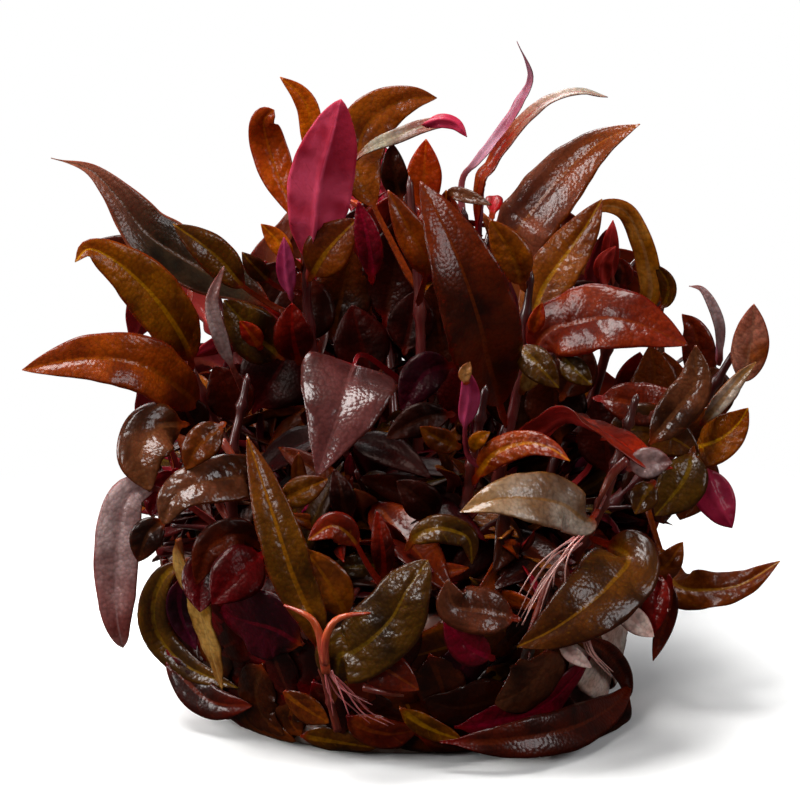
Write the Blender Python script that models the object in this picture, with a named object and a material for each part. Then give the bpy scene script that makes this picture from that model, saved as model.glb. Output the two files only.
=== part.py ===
"""Clump of a dwarf red-leaved aquarium plant, as it comes out of its culture cup.

A cloudy gel plug carries the clump. Rooted shoots rise from the plug, each a stem with
leaves on its nodes, and more leaves lie pressed round the plug where the cup's wall was.
Units are metres when a mesh is made, and millimetres in the design values below.
+Z is up, and the origin is the centre of the plug's flat underside.
"""

import math
from collections import namedtuple

import bmesh
import bpy
from mathutils import Matrix, Vector

MM = 0.001

# Gel plug
PLUG_HEIGHT = 19.0
PLUG_FLOOR_RADIUS = 23.5
PLUG_EDGE_RADIUS = 26.5
PLUG_EDGE_HEIGHT = 3.0
PLUG_TOP_RADIUS = 30.0
PLUG_BRIM_RADIUS = 1.2
PLUG_SIDES = 36
ROUNDING_STEPS = 3

# Undergrowth: the mat of short shoots on the plug's top
MAT_RADIUS = 23.0
MAT_RISE = 17.0
MAT_RINGS = 4
MAT_SIDES = 18

# Stems, each with a spindle of folded young leaves at its tip
STEM_RADIUS = 0.9
STEM_STATIONS = 8
STEM_SIDES = 6
TIP_RADIUS = 2.0
TIP_LENGTH = 8.0
TIP_STATIONS = 4
TIP_POINT_RADIUS = 0.35

# Leaves
LEAF_THICKNESS = 0.45
LEAF_STATIONS = 9
PETIOLE_HALF_WIDTH = 0.5
PRESSED_STALK = 0.1
PRESSED_POINT = 0.8
POINT_HALF_WIDTH = 0.3
WIDEST_AT = 0.44

# Clearances
GAP = 0.3
LOWEST = 0.6
CURVE_STEPS = 24

# The photograph's view, which the places of the leaves are read from
PICTURE_CENTRE = 400.0
MM_PER_PIXEL = 0.125
VIEW_DISTANCE = 550.0
VIEW_TILT = math.radians(16.0)
VIEW_CENTRE = Vector((-0.5, 0.0, 38.0))
RIGHT = Vector((1.0, 0.0, 0.0))
UP = Vector((0.0, 0.0, 1.0))
AWAY = Vector((0.0, math.cos(VIEW_TILT), -math.sin(VIEW_TILT)))
UPWARD = Vector((0.0, math.sin(VIEW_TILT), math.cos(VIEW_TILT)))
FRONT = 1
REAR = -1

# Linear colour and roughness of each finish
FINISHES = {
    "gel": (0.78, 0.62, 0.52, 0.35),
    "undergrowth": (0.1, 0.03, 0.02, 0.5),
    "stem": (0.42, 0.09, 0.06, 0.4),
    "ochre": (0.3, 0.13, 0.03, 0.35),
    "copper": (0.25, 0.06, 0.03, 0.35),
    "olive": (0.13, 0.08, 0.025, 0.35),
    "dark": (0.06, 0.02, 0.018, 0.3),
    "pink": (0.45, 0.02, 0.09, 0.4),
    "silver": (0.28, 0.16, 0.14, 0.3),
}

# Stems, root first: points across, towards the back and up, in millimetres
STEMS = {
    "stem_left": [(-18, 1, 19.5), (-21, -1, 29), (-25, -2, 39), (-28, -1, 46)],
    "stem_left_front": [(-19, -11, 19.5), (-21, -14, 27), (-21, -14, 35), (-20, -13, 40)],
    "stem_upper_left": [(-8, 4, 19.5), (-10, 4, 35), (-12, 3, 48), (-12, 2, 58)],
    "stem_centre": [(1, 3, 19.5), (2, 2, 35), (2, 2, 48), (1, 3, 61)],
    "stem_tall": [(8, 9, 19.5), (9, 10, 35), (9, 9, 47), (8, 8, 56)],
    "stem_right_middle": [(9, -8, 19.5), (12, -10, 33), (14, -10, 43), (15, -9, 52)],
    "stem_front": [(5, -17, 19.5), (7, -20, 27), (8, -21, 35), (9, -21, 41)],
    "stem_right_front": [(20, -12, 19.5), (23, -14, 26), (25, -14, 31), (27, -14, 38)],
    "stem_right": [(22, 1, 19.5), (29, 1, 27), (35, 1, 33), (39, 1, 40)],
    "stem_right_back": [(18, 9, 19.5), (23, 11, 32), (26, 10, 43), (26.5, 9, 51)],
    "stem_low_front": [(-8, -30.9, 5.5), (-9, -31.5, 10), (-10, -32, 15), (-10.5, -32, 20)],
    "stem_back_left": [(-14, 14, 19.5), (-18, 17, 29), (-21, 18, 37), (-23, 19, 43)],
    "stem_back": [(-1, 18, 19.5), (-1, 23, 33), (-1, 27, 44), (0, 29, 54)],
    "stem_back_right": [(12, 19, 19.5), (15, 23, 30), (18, 27, 40), (20, 29, 50)],
}
SMALL_TIPS = {"stem_low_front": 0.6}

# A leaf leaves its stem at a share of the stem's length, and its midrib then runs through the
# points of its route. On the side that the photograph shows, each point is a pixel across, a
# pixel down, and millimetres back from the plug's axis. On the far side it is millimetres
# across, back and up. The face is turned about the midrib by an angle at the base and one at
# the tip: 0 looks at the viewer on that side, and 180 shows the underside. The fold lifts the
# two halves towards the upper side. The stalk is the share of the length that has no blade,
# and a larger point draws the tip out longer.
Leaf = namedtuple("Leaf", "name stem share width face fold finish side route stalk point", defaults=[0.1, 0.9])

LEAVES = [
    Leaf("leaf_long_left", "stem_upper_left", 0.66, 6.3, (30, 25), 20, "dark", FRONT,
         [(252, 293, 2), (213, 275, 1), (183, 259, 0), (147, 234, -1), (117, 196, -2), (89, 169, -3),
          (51, 158, -4)], 0.25, 1.3),
    Leaf("leaf_ochre_left", "stem_left", 0.85, 7.0, (20, 10), 15, "ochre", FRONT,
         [(187, 348, -6), (170, 318, -9), (146, 288, -11), (115, 261, -13), (89, 249, -14), (75, 262, -15)]),
    Leaf("leaf_copper_left", "stem_left", 0.66, 7.2, (25, 5), 20, "copper", FRONT,
         [(197, 404, -5), (176, 386, -9), (146, 367, -12), (110, 359, -14), (70, 360, -15), (22, 370, -16)]),
    Leaf("leaf_amber_hooked", "stem_upper_left", 0.82, 4.6, (10, 0), 15, "copper", FRONT,
         [(301, 232, 4), (296, 212, 5), (280, 180, 6), (268, 145, 7), (264, 121, 6), (271, 110, 5)]),
    Leaf("leaf_magenta", "stem_upper_left", 0.86, 7.8, (180, 180), 15, "pink", FRONT,
         [(309, 232, -3), (312, 205, -4), (323, 170, -5), (333, 138, -6), (341, 99, -6)]),
    Leaf("leaf_orange_top", "stem_centre", 0.78, 6.2, (-10, -25), 15, "copper", FRONT,
         [(362, 180, 8), (360, 143, 10), (372, 119, 11), (392, 105, 12), (415, 98, 12), (437, 98, 12)], 0.35),
    Leaf("leaf_edge_tall", "stem_tall", 0.9, 3.8, (115, 105), 15, "silver", FRONT,
         [(463, 188, 12), (477, 163, 13), (499, 133, 14), (518, 104, 14), (531, 75, 13), (517, 41, 11)],
         0.1, 1.2),
    Leaf("leaf_edge_bent", "stem_tall", 0.85, 4.2, (-70, -75), 15, "silver", FRONT,
         [(479, 188, 3), (491, 165, 2.5), (507, 141, 2), (527, 117, 1.5), (553, 98, 1), (580, 91, 1),
          (608, 97, 1)]),
    Leaf("leaf_glossy_top", "stem_tall", 0.7, 9.0, (-20, -20), 15, "silver", FRONT,
         [(517, 234, 5), (532, 212, 4), (552, 187, 2), (575, 163, 1), (603, 141, 0), (640, 124, -1)], 0.2),
    Leaf("leaf_centre_large", "stem_right_middle", 0.55, 9.4, (15, 10), 25, "dark", FRONT,
         [(489, 365, -17), (480, 325, -20), (464, 275, -21), (443, 225, -20), (420, 181, -18)], 0.12),
    Leaf("leaf_orange_right", "stem_right_middle", 0.85, 6.2, (-15, -15), 15, "copper", FRONT,
         [(540, 296, -6), (555, 270, -5), (572, 247, -4), (588, 223, -4), (602, 199, -4)]),
    Leaf("leaf_olive_bent", "stem_right_back", 0.8, 4.4, (-30, -50), 10, "olive", FRONT,
         [(634, 280, 6), (645, 255, 4), (636, 224, 3), (616, 211, 3), (592, 216, 3)], 0.25),
    Leaf("leaf_copper_right", "stem_right_middle", 0.78, 8.6, (-20, -15), 15, "copper", FRONT,
         [(545, 334, -12), (575, 323, -15), (608, 318, -17), (645, 326, -18), (688, 345, -19)]),
    Leaf("leaf_copper_far_right", "stem_right", 0.85, 4.4, (10, 10), 10, "copper", FRONT,
         [(730, 400, 0), (741, 381, -1), (747, 361, -2), (752, 333, -3), (754, 304, -4)], 0.38),
    Leaf("leaf_orange_side", "stem_right", 0.62, 6.5, (-30, -30), 15, "copper", FRONT,
         [(702, 446, -4), (722, 438, -7), (738, 424, -8), (748, 408, -9)]),
    Leaf("leaf_folded_pink", "stem_right_middle", 0.42, 6.5, (200, 330), 15, "pink", FRONT,
         [(558, 420, -17), (590, 425, -20), (625, 445, -22), (650, 463, -23), (673, 468, -23)]),
    Leaf("leaf_orange_middle", "stem_front", 0.66, 3.8, (-30, -20), 10, "copper", FRONT,
         [(489, 459, -24), (506, 448, -25), (530, 443, -26), (552, 449, -27), (570, 461, -28)]),
    Leaf("leaf_silver_olive", "stem_right_front", 0.6, 7.0, (20, 15), 12, "silver", FRONT,
         [(589, 520, -25), (562, 504, -28), (530, 498, -31), (495, 499, -33), (460, 512, -34)], 0.15, 1.1),
    Leaf("leaf_wet_olive", "stem_right_front", 0.3, 9.0, (10, 0), 12, "olive", FRONT,
         [(628, 556, -23), (612, 582, -28), (585, 607, -32), (552, 630, -34), (517, 647, -35)], 0.15),
    Leaf("leaf_dark_midrib", "stem_low_front", 0.25, 7.4, (0, 0), 15, "olive", FRONT,
         [(338, 659, -35), (352, 653, -35.5), (372, 639, -36), (392, 618, -36), (406, 592, -36),
          (420, 565, -35)], 0.1, 0.6),
    Leaf("leaf_narrow_ochre", "stem_low_front", 0.6, 5.4, (10, 10), 15, "ochre", FRONT,
         [(313, 622, -34), (303, 600, -34), (290, 568, -34), (276, 524, -33), (261, 478, -31),
          (247, 436, -29)]),
    Leaf("leaf_silver_broad", "stem_centre", 0.45, 12.0, (5, 0), 12, "silver", FRONT,
         [(376, 366, -14), (362, 392, -20), (342, 432, -25), (316, 477, -27)], 0.4),
    Leaf("leaf_pale_rim", "stem_left_front", 0.5, 6.2, (30, 20), 12, "silver", FRONT,
         [(247, 479, -19), (222, 479, -22), (195, 485, -24), (173, 499, -25), (163, 524, -25)], 0.1, 0.6),
    Leaf("leaf_hanging", "stem_left_front", 0.25, 5.6, (-10, -10), 15, "silver", FRONT,
         [(180, 500, -16), (150, 488, -17), (128, 496, -18), (118, 530, -19), (116, 580, -20), (117, 618, -21),
          (123, 648, -21)], 0.36, 0.6),
    Leaf("leaf_wavy_right", "stem_right", 0.4, 5.0, (-15, -15), 12, "copper", FRONT,
         [(664, 560, -4), (678, 586, -8), (707, 590, -10), (742, 584, -11), (780, 561, -11)], 0.3),
    Leaf("leaf_rear_1", "stem_back_left", 0.85, 8.5, (-30, -20), 15, "copper", REAR,
         [(-27, 24, 44), (-32, 28, 44), (-36, 31, 37)]),
    Leaf("leaf_rear_2", "stem_back_left", 0.75, 7.5, (0, 15), 15, "olive", REAR,
         [(-19, 22, 45), (-15, 26, 52), (-13, 29, 57)]),
    Leaf("leaf_rear_3", "stem_back", 0.85, 9.0, (190, 180), 15, "pink", REAR,
         [(-2, 33, 54), (-5, 36, 61), (-4, 37, 66)]),
    Leaf("leaf_rear_4", "stem_back", 0.65, 9.0, (35, 25), 15, "copper", REAR,
         [(3, 31, 47), (10, 36, 47.5), (17, 41, 41)]),
    Leaf("leaf_rear_5", "stem_back_right", 0.85, 8.0, (35, 25), 15, "ochre", REAR,
         [(24, 32, 47), (30, 34, 46), (34, 36, 38)]),
    Leaf("leaf_rear_6", "stem_back_left", 0.5, 8.0, (-30, -20), 15, "olive", REAR,
         [(-25, 22, 37), (-31, 26, 33), (-35, 29, 24)]),
    Leaf("leaf_rear_7", "stem_back_right", 0.5, 8.0, (35, 20), 15, "copper", REAR,
         [(20, 30, 34), (26, 35, 29), (30, 38, 20)]),
    Leaf("leaf_rear_8", "stem_back", 0.45, 9.0, (-30, -15), 15, "dark", REAR,
         [(-5, 30, 41), (-10, 35, 37), (-12, 38, 27)]),
]

# Leaves pressed against the plug's side. The lift is how far the leaf stands off the plug.
# A point of the route is a pixel across and down on the side that the photograph shows, and
# degrees round the plug from the right and millimetres up on the far side.
Pressed = namedtuple("Pressed", "name width lift finish side route")

PRESSED = [
    Pressed("pressed_left", 5.5, 1.0, "olive", FRONT,
            [(162, 560), (153, 590), (151, 622), (166, 654), (184, 672)]),
    Pressed("pressed_low_left", 5.0, 1.0, "copper", FRONT, [(190, 676), (200, 690), (218, 703), (242, 709)]),
    Pressed("pressed_curled", 4.6, 3.4, "olive", FRONT,
            [(176, 540), (179, 562), (193, 598), (206, 636), (222, 690)]),
    Pressed("pressed_purple", 9.5, 2.1, "pink", FRONT, [(303, 646), (276, 630), (248, 622), (220, 612)]),
    Pressed("pressed_brown", 6.5, 1.0, "dark", FRONT, [(262, 664), (256, 692), (264, 718), (284, 735)]),
    Pressed("pressed_low_front", 4.5, 1.0, "dark", FRONT, [(416, 735), (455, 748), (505, 746), (556, 735)]),
    Pressed("pressed_purple_sweep", 5.5, 2.1, "pink", FRONT, [(455, 728), (505, 719), (550, 702), (592, 655)]),
    Pressed("pressed_grey_broad", 8.0, 3.4, "silver", FRONT, [(550, 648), (543, 668), (524, 690), (495, 704)]),
    Pressed("pressed_rear_1", 7.5, 1.0, "copper", REAR, [(50, 16.5), (55, 11), (50, 6), (42, 2.5)]),
    Pressed("pressed_rear_2", 8.0, 1.0, "dark", REAR, [(72, 14), (80, 9.5), (92, 6), (106, 4)]),
    Pressed("pressed_rear_3", 7.5, 1.0, "olive", REAR, [(113, 16), (122, 12.5), (132, 8), (138, 3.5)]),
]


def seen(pixel_x, pixel_y, back):
    """The point that the photograph shows at a pixel, at a distance back from the plug's axis."""
    across = (pixel_x - PICTURE_CENTRE) * MM_PER_PIXEL
    high = (PICTURE_CENTRE - pixel_y) * MM_PER_PIXEL
    rise = high * math.sin(VIEW_TILT)
    away = (back - rise) / (math.cos(VIEW_TILT) + rise / VIEW_DISTANCE)
    grown = 1 + away / VIEW_DISTANCE
    return VIEW_CENTRE + RIGHT * across * grown + UPWARD * high * grown + AWAY * away


def plug_radius(height):
    """Radius of the plug's outside at a height."""
    if height >= PLUG_EDGE_HEIGHT:
        slope = (PLUG_TOP_RADIUS - PLUG_EDGE_RADIUS) / (PLUG_HEIGHT - PLUG_EDGE_HEIGHT)
        return PLUG_EDGE_RADIUS + slope * (height - PLUG_EDGE_HEIGHT)
    share = max(0.0, height) / PLUG_EDGE_HEIGHT
    turn = math.sqrt(1 - (1 - share) ** 2)
    return PLUG_FLOOR_RADIUS + (PLUG_EDGE_RADIUS - PLUG_FLOOR_RADIUS) * turn


def seen_on_plug(pixel_x, pixel_y, lift):
    """The point at a pixel that stands off the front of the plug's side by the lift."""
    back = -PLUG_TOP_RADIUS
    for _ in range(CURVE_STEPS):
        point = seen(pixel_x, pixel_y, back)
        reach = plug_radius(point.z) + lift
        back = (back - math.sqrt(max(0.0, reach**2 - point.x**2))) / 2
    return seen(pixel_x, pixel_y, back)


def round_plug(angle, height, lift):
    """The point at an angle and height that stands off the plug's side by the lift."""
    outward = Vector((math.cos(math.radians(angle)), math.sin(math.radians(angle)), 0))
    return outward * (plug_radius(height) + lift) + UP * height


def off_plug(point, lift):
    """The point moved straight in or out, to stand off the plug's side by the lift."""
    height = max(point.z, LOWEST)
    outward = Vector((point.x, point.y, 0)).normalized()
    return outward * (plug_radius(height) + lift) + UP * height


def smooth(points, stations):
    """Evenly spaced points of a smooth curve through the given ones."""
    ends = [2 * points[0] - points[1], *points, 2 * points[-1] - points[-2]]
    fine = [points[0]]
    for before, start, end, after in zip(ends, ends[1:], ends[2:], ends[3:]):
        for step in range(1, CURVE_STEPS + 1):
            t = step / CURVE_STEPS
            bend = (2 * before - 5 * start + 4 * end - after) * t**2
            turn = (3 * start - before - 3 * end + after) * t**3
            fine.append((2 * start + (end - before) * t + bend + turn) / 2)
    reached = [0.0]
    for start, end in zip(fine, fine[1:]):
        reached.append(reached[-1] + (end - start).length)
    even = []
    index = 0
    for station in range(stations + 1):
        wanted = reached[-1] * station / stations
        while index < len(fine) - 2 and reached[index + 1] < wanted:
            index += 1
        share = (wanted - reached[index]) / (reached[index + 1] - reached[index])
        even.append(fine[index].lerp(fine[index + 1], share))
    return even


def tangents(spine):
    """Unit direction of the curve at each of its points."""
    after = [*spine[1:], 2 * spine[-1] - spine[-2]]
    before = [2 * spine[0] - spine[1], *spine[:-1]]
    return [(end - start).normalized() for start, end in zip(before, after)]


def finished(name, mesh, finish):
    """An object of the piece's own, with a material of its own."""
    red, green, blue, roughness = FINISHES[finish]
    material = bpy.data.materials.new(name)
    material.use_nodes = True
    shader = material.node_tree.nodes["Principled BSDF"]
    shader.inputs["Base Color"].default_value = (red, green, blue, 1.0)
    shader.inputs["Roughness"].default_value = roughness
    data = bpy.data.meshes.new(name)
    bmesh.ops.transform(mesh, matrix=Matrix.Scale(MM, 4), verts=mesh.verts)
    mesh.to_mesh(data)
    mesh.free()
    data.materials.append(material)
    data.shade_smooth()
    piece = bpy.data.objects.new(name, data)
    bpy.context.scene.collection.objects.link(piece)
    return piece


def turned(profile, sides):
    """A closed solid turned about the Z axis from a profile of (radius, height)."""
    mesh = bmesh.new()
    corners = [mesh.verts.new((radius, 0, height)) for radius, height in profile]
    edges = [mesh.edges.new(pair) for pair in zip(corners, corners[1:])]
    bmesh.ops.spin(mesh, geom=corners + edges, cent=(0, 0, 0), axis=UP, angle=math.tau,
                   steps=sides, use_merge=True)
    bmesh.ops.remove_doubles(mesh, verts=mesh.verts, dist=GAP / 100)
    bmesh.ops.recalc_face_normals(mesh, faces=mesh.faces)
    return mesh


def gel_plug():
    """The plug of nutrient gel, with its lower edge rounded as the cup's floor was."""
    profile = [(0, 0)]
    for step in range(ROUNDING_STEPS + 1):
        height = PLUG_EDGE_HEIGHT * (1 - math.cos(step / ROUNDING_STEPS * math.pi / 2))
        profile.append((plug_radius(height), height))
    for step in range(ROUNDING_STEPS + 1):
        turn = step / ROUNDING_STEPS * math.pi / 2
        inward = PLUG_BRIM_RADIUS * (1 - math.cos(turn))
        upward = PLUG_BRIM_RADIUS * math.sin(turn)
        height = PLUG_HEIGHT - PLUG_BRIM_RADIUS + upward
        profile.append((plug_radius(PLUG_HEIGHT) - inward, height))
    profile.append((0, PLUG_HEIGHT))
    piece = finished("gel_plug", turned(profile, PLUG_SIDES), "gel")
    piece.data.set_sharp_from_angle(angle=math.radians(40))


def frame_at(centre, along, radius):
    """Matrix that lays the unit circle round a stem's axis."""
    side = (RIGHT - RIGHT.dot(along) * along).normalized()
    turn = Matrix((side, along.cross(side), along)).transposed().to_4x4()
    return Matrix.Translation(centre) @ turn @ Matrix.Scale(radius, 4)


def add_tube(mesh, spine, radii, sides):
    """Adds a closed round tube, with a radius of its own at each point of its axis."""
    frames = [frame_at(*station) for station in zip(spine, tangents(spine), radii)]
    circle = bmesh.ops.create_circle(mesh, cap_ends=True, segments=sides, radius=1.0, matrix=frames[0])
    end = circle["verts"][0].link_faces[0]
    inner = []
    for now, then in zip(frames, frames[1:]):
        made = bmesh.ops.extrude_face_region(mesh, geom=[end])["geom"]
        end = next(item for item in made if isinstance(item, bmesh.types.BMFace))
        bmesh.ops.transform(mesh, matrix=then @ now.inverted(), verts=end.verts)
        inner.append(end)
    bmesh.ops.delete(mesh, geom=inner[:-1], context="FACES_ONLY")
    bmesh.ops.recalc_face_normals(mesh, faces=mesh.faces)


def stem_axis(name):
    """Points of a stem's axis, the spindle at its tip left out."""
    return smooth([Vector(point) for point in STEMS[name]], STEM_STATIONS)


def stem(name):
    """A round stem that swells at its tip into a spindle of folded young leaves."""
    axis = stem_axis(name)
    scale = SMALL_TIPS.get(name, 1.0)
    onward = (axis[-1] - axis[-2]).normalized()
    tip = [axis[-1] + onward * TIP_LENGTH * scale * step / TIP_STATIONS for step in range(1, TIP_STATIONS + 1)]
    swell = [TIP_RADIUS * scale * math.sin(math.pi * step / TIP_STATIONS) for step in range(1, TIP_STATIONS)]
    radii = [STEM_RADIUS] * len(axis) + [max(radius, STEM_RADIUS) for radius in swell] + [TIP_POINT_RADIUS]
    mesh = bmesh.new()
    add_tube(mesh, axis + tip, radii, STEM_SIDES)
    finished(name, mesh, "stem")


def undergrowth():
    """The mat of short shoots between the stems, with a passage for each stem."""
    profile = [(0, PLUG_HEIGHT + GAP)]
    for ring in range(MAT_RINGS + 1):
        turn = ring / MAT_RINGS * math.pi / 2
        height = PLUG_HEIGHT + GAP + MAT_RISE * math.sin(turn)
        profile.append((MAT_RADIUS * math.cos(turn), height))
    mat = finished("undergrowth", turned(profile, MAT_SIDES), "undergrowth")
    passages = bmesh.new()
    for name in STEMS:
        if name == "stem_low_front":
            continue
        axis = stem_axis(name)
        axis.insert(0, 2 * axis[0] - axis[1])
        add_tube(passages, axis, [STEM_RADIUS + GAP] * len(axis), STEM_SIDES)
    cutter = finished("stem_passages", passages, "undergrowth")
    cutter.display_type = "WIRE"
    cutter.hide_render = True
    cut = mat.modifiers.new("passages", "BOOLEAN")
    cut.operation = "DIFFERENCE"
    cut.object = cutter


def half_width(share, width, stalk, point):
    """Half the leaf's width at a share of its length, from the foot of the stalk to the tip."""
    along = max(0.0, (share - stalk) / (1 - stalk))
    base = point * WIDEST_AT / (1 - WIDEST_AT)
    swell = (along / WIDEST_AT) ** base * ((1 - along) / (1 - WIDEST_AT)) ** point
    least = PETIOLE_HALF_WIDTH + (POINT_HALF_WIDTH - PETIOLE_HALF_WIDTH) * share
    return max(least, width / 2 * swell)


def leaf_object(name, spine, outline, sides, normals, fold, finish, lift=None):
    """A leaf blade on its spine: a grid of two halves, given the leaf's thickness."""
    mesh = bmesh.new()
    bmesh.ops.create_grid(mesh, x_segments=2, y_segments=LEAF_STATIONS, size=1.0)
    for corner in mesh.verts:
        station = round((corner.co.y + 1) / 2 * LEAF_STATIONS)
        half = half_width(station / LEAF_STATIONS, *outline)
        out = sides[station] * corner.co.x * half
        rise = normals[station] * abs(corner.co.x) * half * math.tan(math.radians(fold))
        corner.co = spine[station] + out + rise
        if lift is not None:
            corner.co = off_plug(corner.co, lift)
    piece = finished(name, mesh, finish)
    wall = piece.modifiers.new("thickness", "SOLIDIFY")
    wall.thickness = LEAF_THICKNESS * MM
    wall.offset = 0.0


def leaf(spec):
    """A leaf that stands out from its stem."""
    axis = stem_axis(spec.stem)
    place = spec.share * STEM_STATIONS
    index = min(int(place), STEM_STATIONS - 1)
    foot = axis[index].lerp(axis[index + 1], place - index)
    along = (axis[index + 1] - axis[index]).normalized()
    points = [seen(*point) if spec.side == FRONT else Vector(point) for point in spec.route]
    outward = points[0] - foot
    outward = (outward - outward.dot(along) * along).normalized()
    start = foot + outward * (STEM_RADIUS + GAP + LEAF_THICKNESS)
    spine = smooth([start, *points], LEAF_STATIONS)
    viewer = Vector((0, -spec.side * AWAY.y, -AWAY.z))
    sides = []
    normals = []
    for station, ahead in enumerate(tangents(spine)):
        share = station / LEAF_STATIONS
        roll = math.radians(spec.face[0] + (spec.face[1] - spec.face[0]) * share)
        facing = (viewer - viewer.dot(ahead) * ahead).normalized()
        normal = Matrix.Rotation(roll, 3, ahead) @ facing
        normals.append(normal)
        sides.append(ahead.cross(normal))
    outline = (spec.width, spec.stalk, spec.point)
    leaf_object(spec.name, spine, outline, sides, normals, spec.fold, spec.finish)


def pressed_leaf(spec):
    """A leaf that lies against the plug's side."""
    place = seen_on_plug if spec.side == FRONT else round_plug
    points = [place(*point, spec.lift) for point in spec.route]
    spine = smooth(points, LEAF_STATIONS)
    sides = []
    normals = []
    for point, ahead in zip(spine, tangents(spine)):
        outward = Vector((point.x, point.y, 0))
        normal = (outward - outward.dot(ahead) * ahead).normalized()
        normals.append(normal)
        sides.append(ahead.cross(normal))
    outline = (spec.width, PRESSED_STALK, PRESSED_POINT)
    leaf_object(spec.name, spine, outline, sides, normals, 0, spec.finish, spec.lift)


def main():
    for item in list(bpy.data.objects):
        bpy.data.objects.remove(item)
    gel_plug()
    undergrowth()
    for name in STEMS:
        stem(name)
    for spec in LEAVES:
        leaf(spec)
    for spec in PRESSED:
        pressed_leaf(spec)


main()
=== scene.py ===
"""Looks of a clump of dwarf red aquarium plant on its plug of culture gel."""

import math
import random
from collections import namedtuple
from functools import cache

import bmesh
import bpy
import numpy as np
from mathutils import Matrix, Vector


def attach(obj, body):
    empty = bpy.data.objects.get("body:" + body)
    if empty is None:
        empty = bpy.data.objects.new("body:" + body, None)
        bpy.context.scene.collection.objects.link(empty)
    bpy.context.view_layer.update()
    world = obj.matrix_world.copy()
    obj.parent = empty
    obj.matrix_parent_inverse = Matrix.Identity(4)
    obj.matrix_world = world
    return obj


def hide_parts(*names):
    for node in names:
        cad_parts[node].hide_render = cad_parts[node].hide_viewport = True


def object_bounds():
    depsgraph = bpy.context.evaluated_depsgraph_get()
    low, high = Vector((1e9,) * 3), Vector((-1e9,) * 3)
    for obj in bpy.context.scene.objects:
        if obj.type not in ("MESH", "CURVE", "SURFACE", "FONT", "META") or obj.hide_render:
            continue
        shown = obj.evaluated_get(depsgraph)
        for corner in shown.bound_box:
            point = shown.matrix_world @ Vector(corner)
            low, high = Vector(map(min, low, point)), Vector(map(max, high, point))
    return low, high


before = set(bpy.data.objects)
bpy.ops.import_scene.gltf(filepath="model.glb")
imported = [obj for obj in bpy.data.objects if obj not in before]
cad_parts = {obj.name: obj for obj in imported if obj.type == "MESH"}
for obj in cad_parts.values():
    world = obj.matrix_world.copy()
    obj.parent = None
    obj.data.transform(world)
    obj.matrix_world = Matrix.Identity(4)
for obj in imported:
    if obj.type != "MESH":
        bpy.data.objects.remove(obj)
cad_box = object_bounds()

MM = 0.001

# Middle and radii of the clump in millimetres, which tell how far inside a small leaf lies and how much painted shade
# it gets
CLUMP_MIDDLE = np.array((0.0, 0.0, 30.0))
CLUMP_RADII = np.array((37.0, 33.0, 38.0))
SHADE_AT_MIDDLE = 0.3
SHADE_FROM, SHADE_OVER = 0.62, 0.4

# The least that a smaller leaf keeps of its colour under the painted shade, for the dark tones, the others and the
# carpet
DEEP_SHADE = {"dark": 0.35, "wine": 0.35, "plum": 0.45, "brown": 0.45}
LEAST_SHADE = 0.55
CARPET_SHADE = 0.45

# Dark hollows between the leaves in the photograph, where leaves get more painted shade: middle and radius in pixels
PAINTED_SHADE_HOLLOWS = [((402, 488), 105), ((228, 572), 50), ((335, 330), 60), ((622, 410), 60)]
SHADE_IN_HOLLOW = 0.35

# The photograph's view, which the places of the leaves are read from, in millimetres and pixels
PICTURE_SIDE = 800
PICTURE_CENTRE = 400.0
MM_PER_PIXEL = 0.125
VIEW_DISTANCE = 550.0
VIEW_TILT = math.radians(16.0)
VIEW_CENTRE = np.array((-0.5, 0.0, 38.0))
RIGHT = np.array((1.0, 0.0, 0.0))
UP = np.array((0.0, 0.0, 1.0))
AWAY = np.array((0.0, math.cos(VIEW_TILT), -math.sin(VIEW_TILT)))
UPWARD = np.array((0.0, math.sin(VIEW_TILT), math.cos(VIEW_TILT)))
FRONT = 1
REAR = -1
SENSOR = 36.0

# Gel plug, in millimetres
PLUG_HEIGHT = 19.0
PLUG_FLOOR_RADIUS = 23.5
PLUG_EDGE_RADIUS = 26.5
PLUG_EDGE_HEIGHT = 3.0
PLUG_TOP_RADIUS = 30.0
RIM_ROUND = 1.6
DENT_FROM = 0.5
LOWEST = 0.5

# A leaf that comes below the first height bends to rest on the floor, above the second
BENT_BELOW = 1.0
REST_HEIGHT = 0.2

# Stems and leaves, in millimetres
STEM_RADIUS = 0.85
NODE_SWELL = 0.35
STEM_STEPS = 8
SHOOT_DEPTH = 0.3
PETIOLE_HALF_WIDTH = 0.45
PETIOLE_DEPTH = 0.75
BLADE_THICKNESS = 0.24
MARGIN_THICKNESS = 0.1
TIP_HALF_WIDTH = 0.06
VEIN_SPACING = 1.7
CROSS_VEIN_SPACING = 1.2
VEIN_SLANT = 0.85
CRINKLE = 0.5
BLOTCH = 6.0

# How a leaf grows from its shoot: angles in radians, and lengths as shares of the shoot's leaves
YOUNG_ANGLE, GROWN_ANGLE = (0.2, 0.55), (0.55, 1.25)
YOUNG_LENGTH, GROWN_LENGTH = (0.4, 0.7), (0.75, 1.2)
SLIMNESS = (0.22, 0.34)
BEND, SWAY, TWIST = (-0.1, 1.3), (-0.4, 0.4), (-0.7, 0.7)
TRIES = 4

# Each next shoot stands this far round from the last, which spreads them evenly
GOLDEN_RADIANS = 2.39996
GOLDEN_DEGREES = 137.508

# How many shoots and leaves are grown by rule, and how far from the axis in millimetres
TALLER_SHOOTS, TALLER_REACH = 34, 22
SHORT_SHOOTS, SHORT_REACH = 70, 27.5
CARPET_LEAVES, CARPET_REACH = 110, 28.0
SKIRT_LEAVES = 220
LOOSE_ROOTS = 90

# Grid of a blade (across, along) and of a tube (round, along)
BLADE_GRID = (18, 56)
MIDDLE_GRID = (10, 34)
SMALL_GRID = (8, 18)
BUD_GRID = (6, 14)
STEM_GRID = (12, 40)
TWIG_GRID = (8, 14)
ROOT_GRID = (5, 16)

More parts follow.
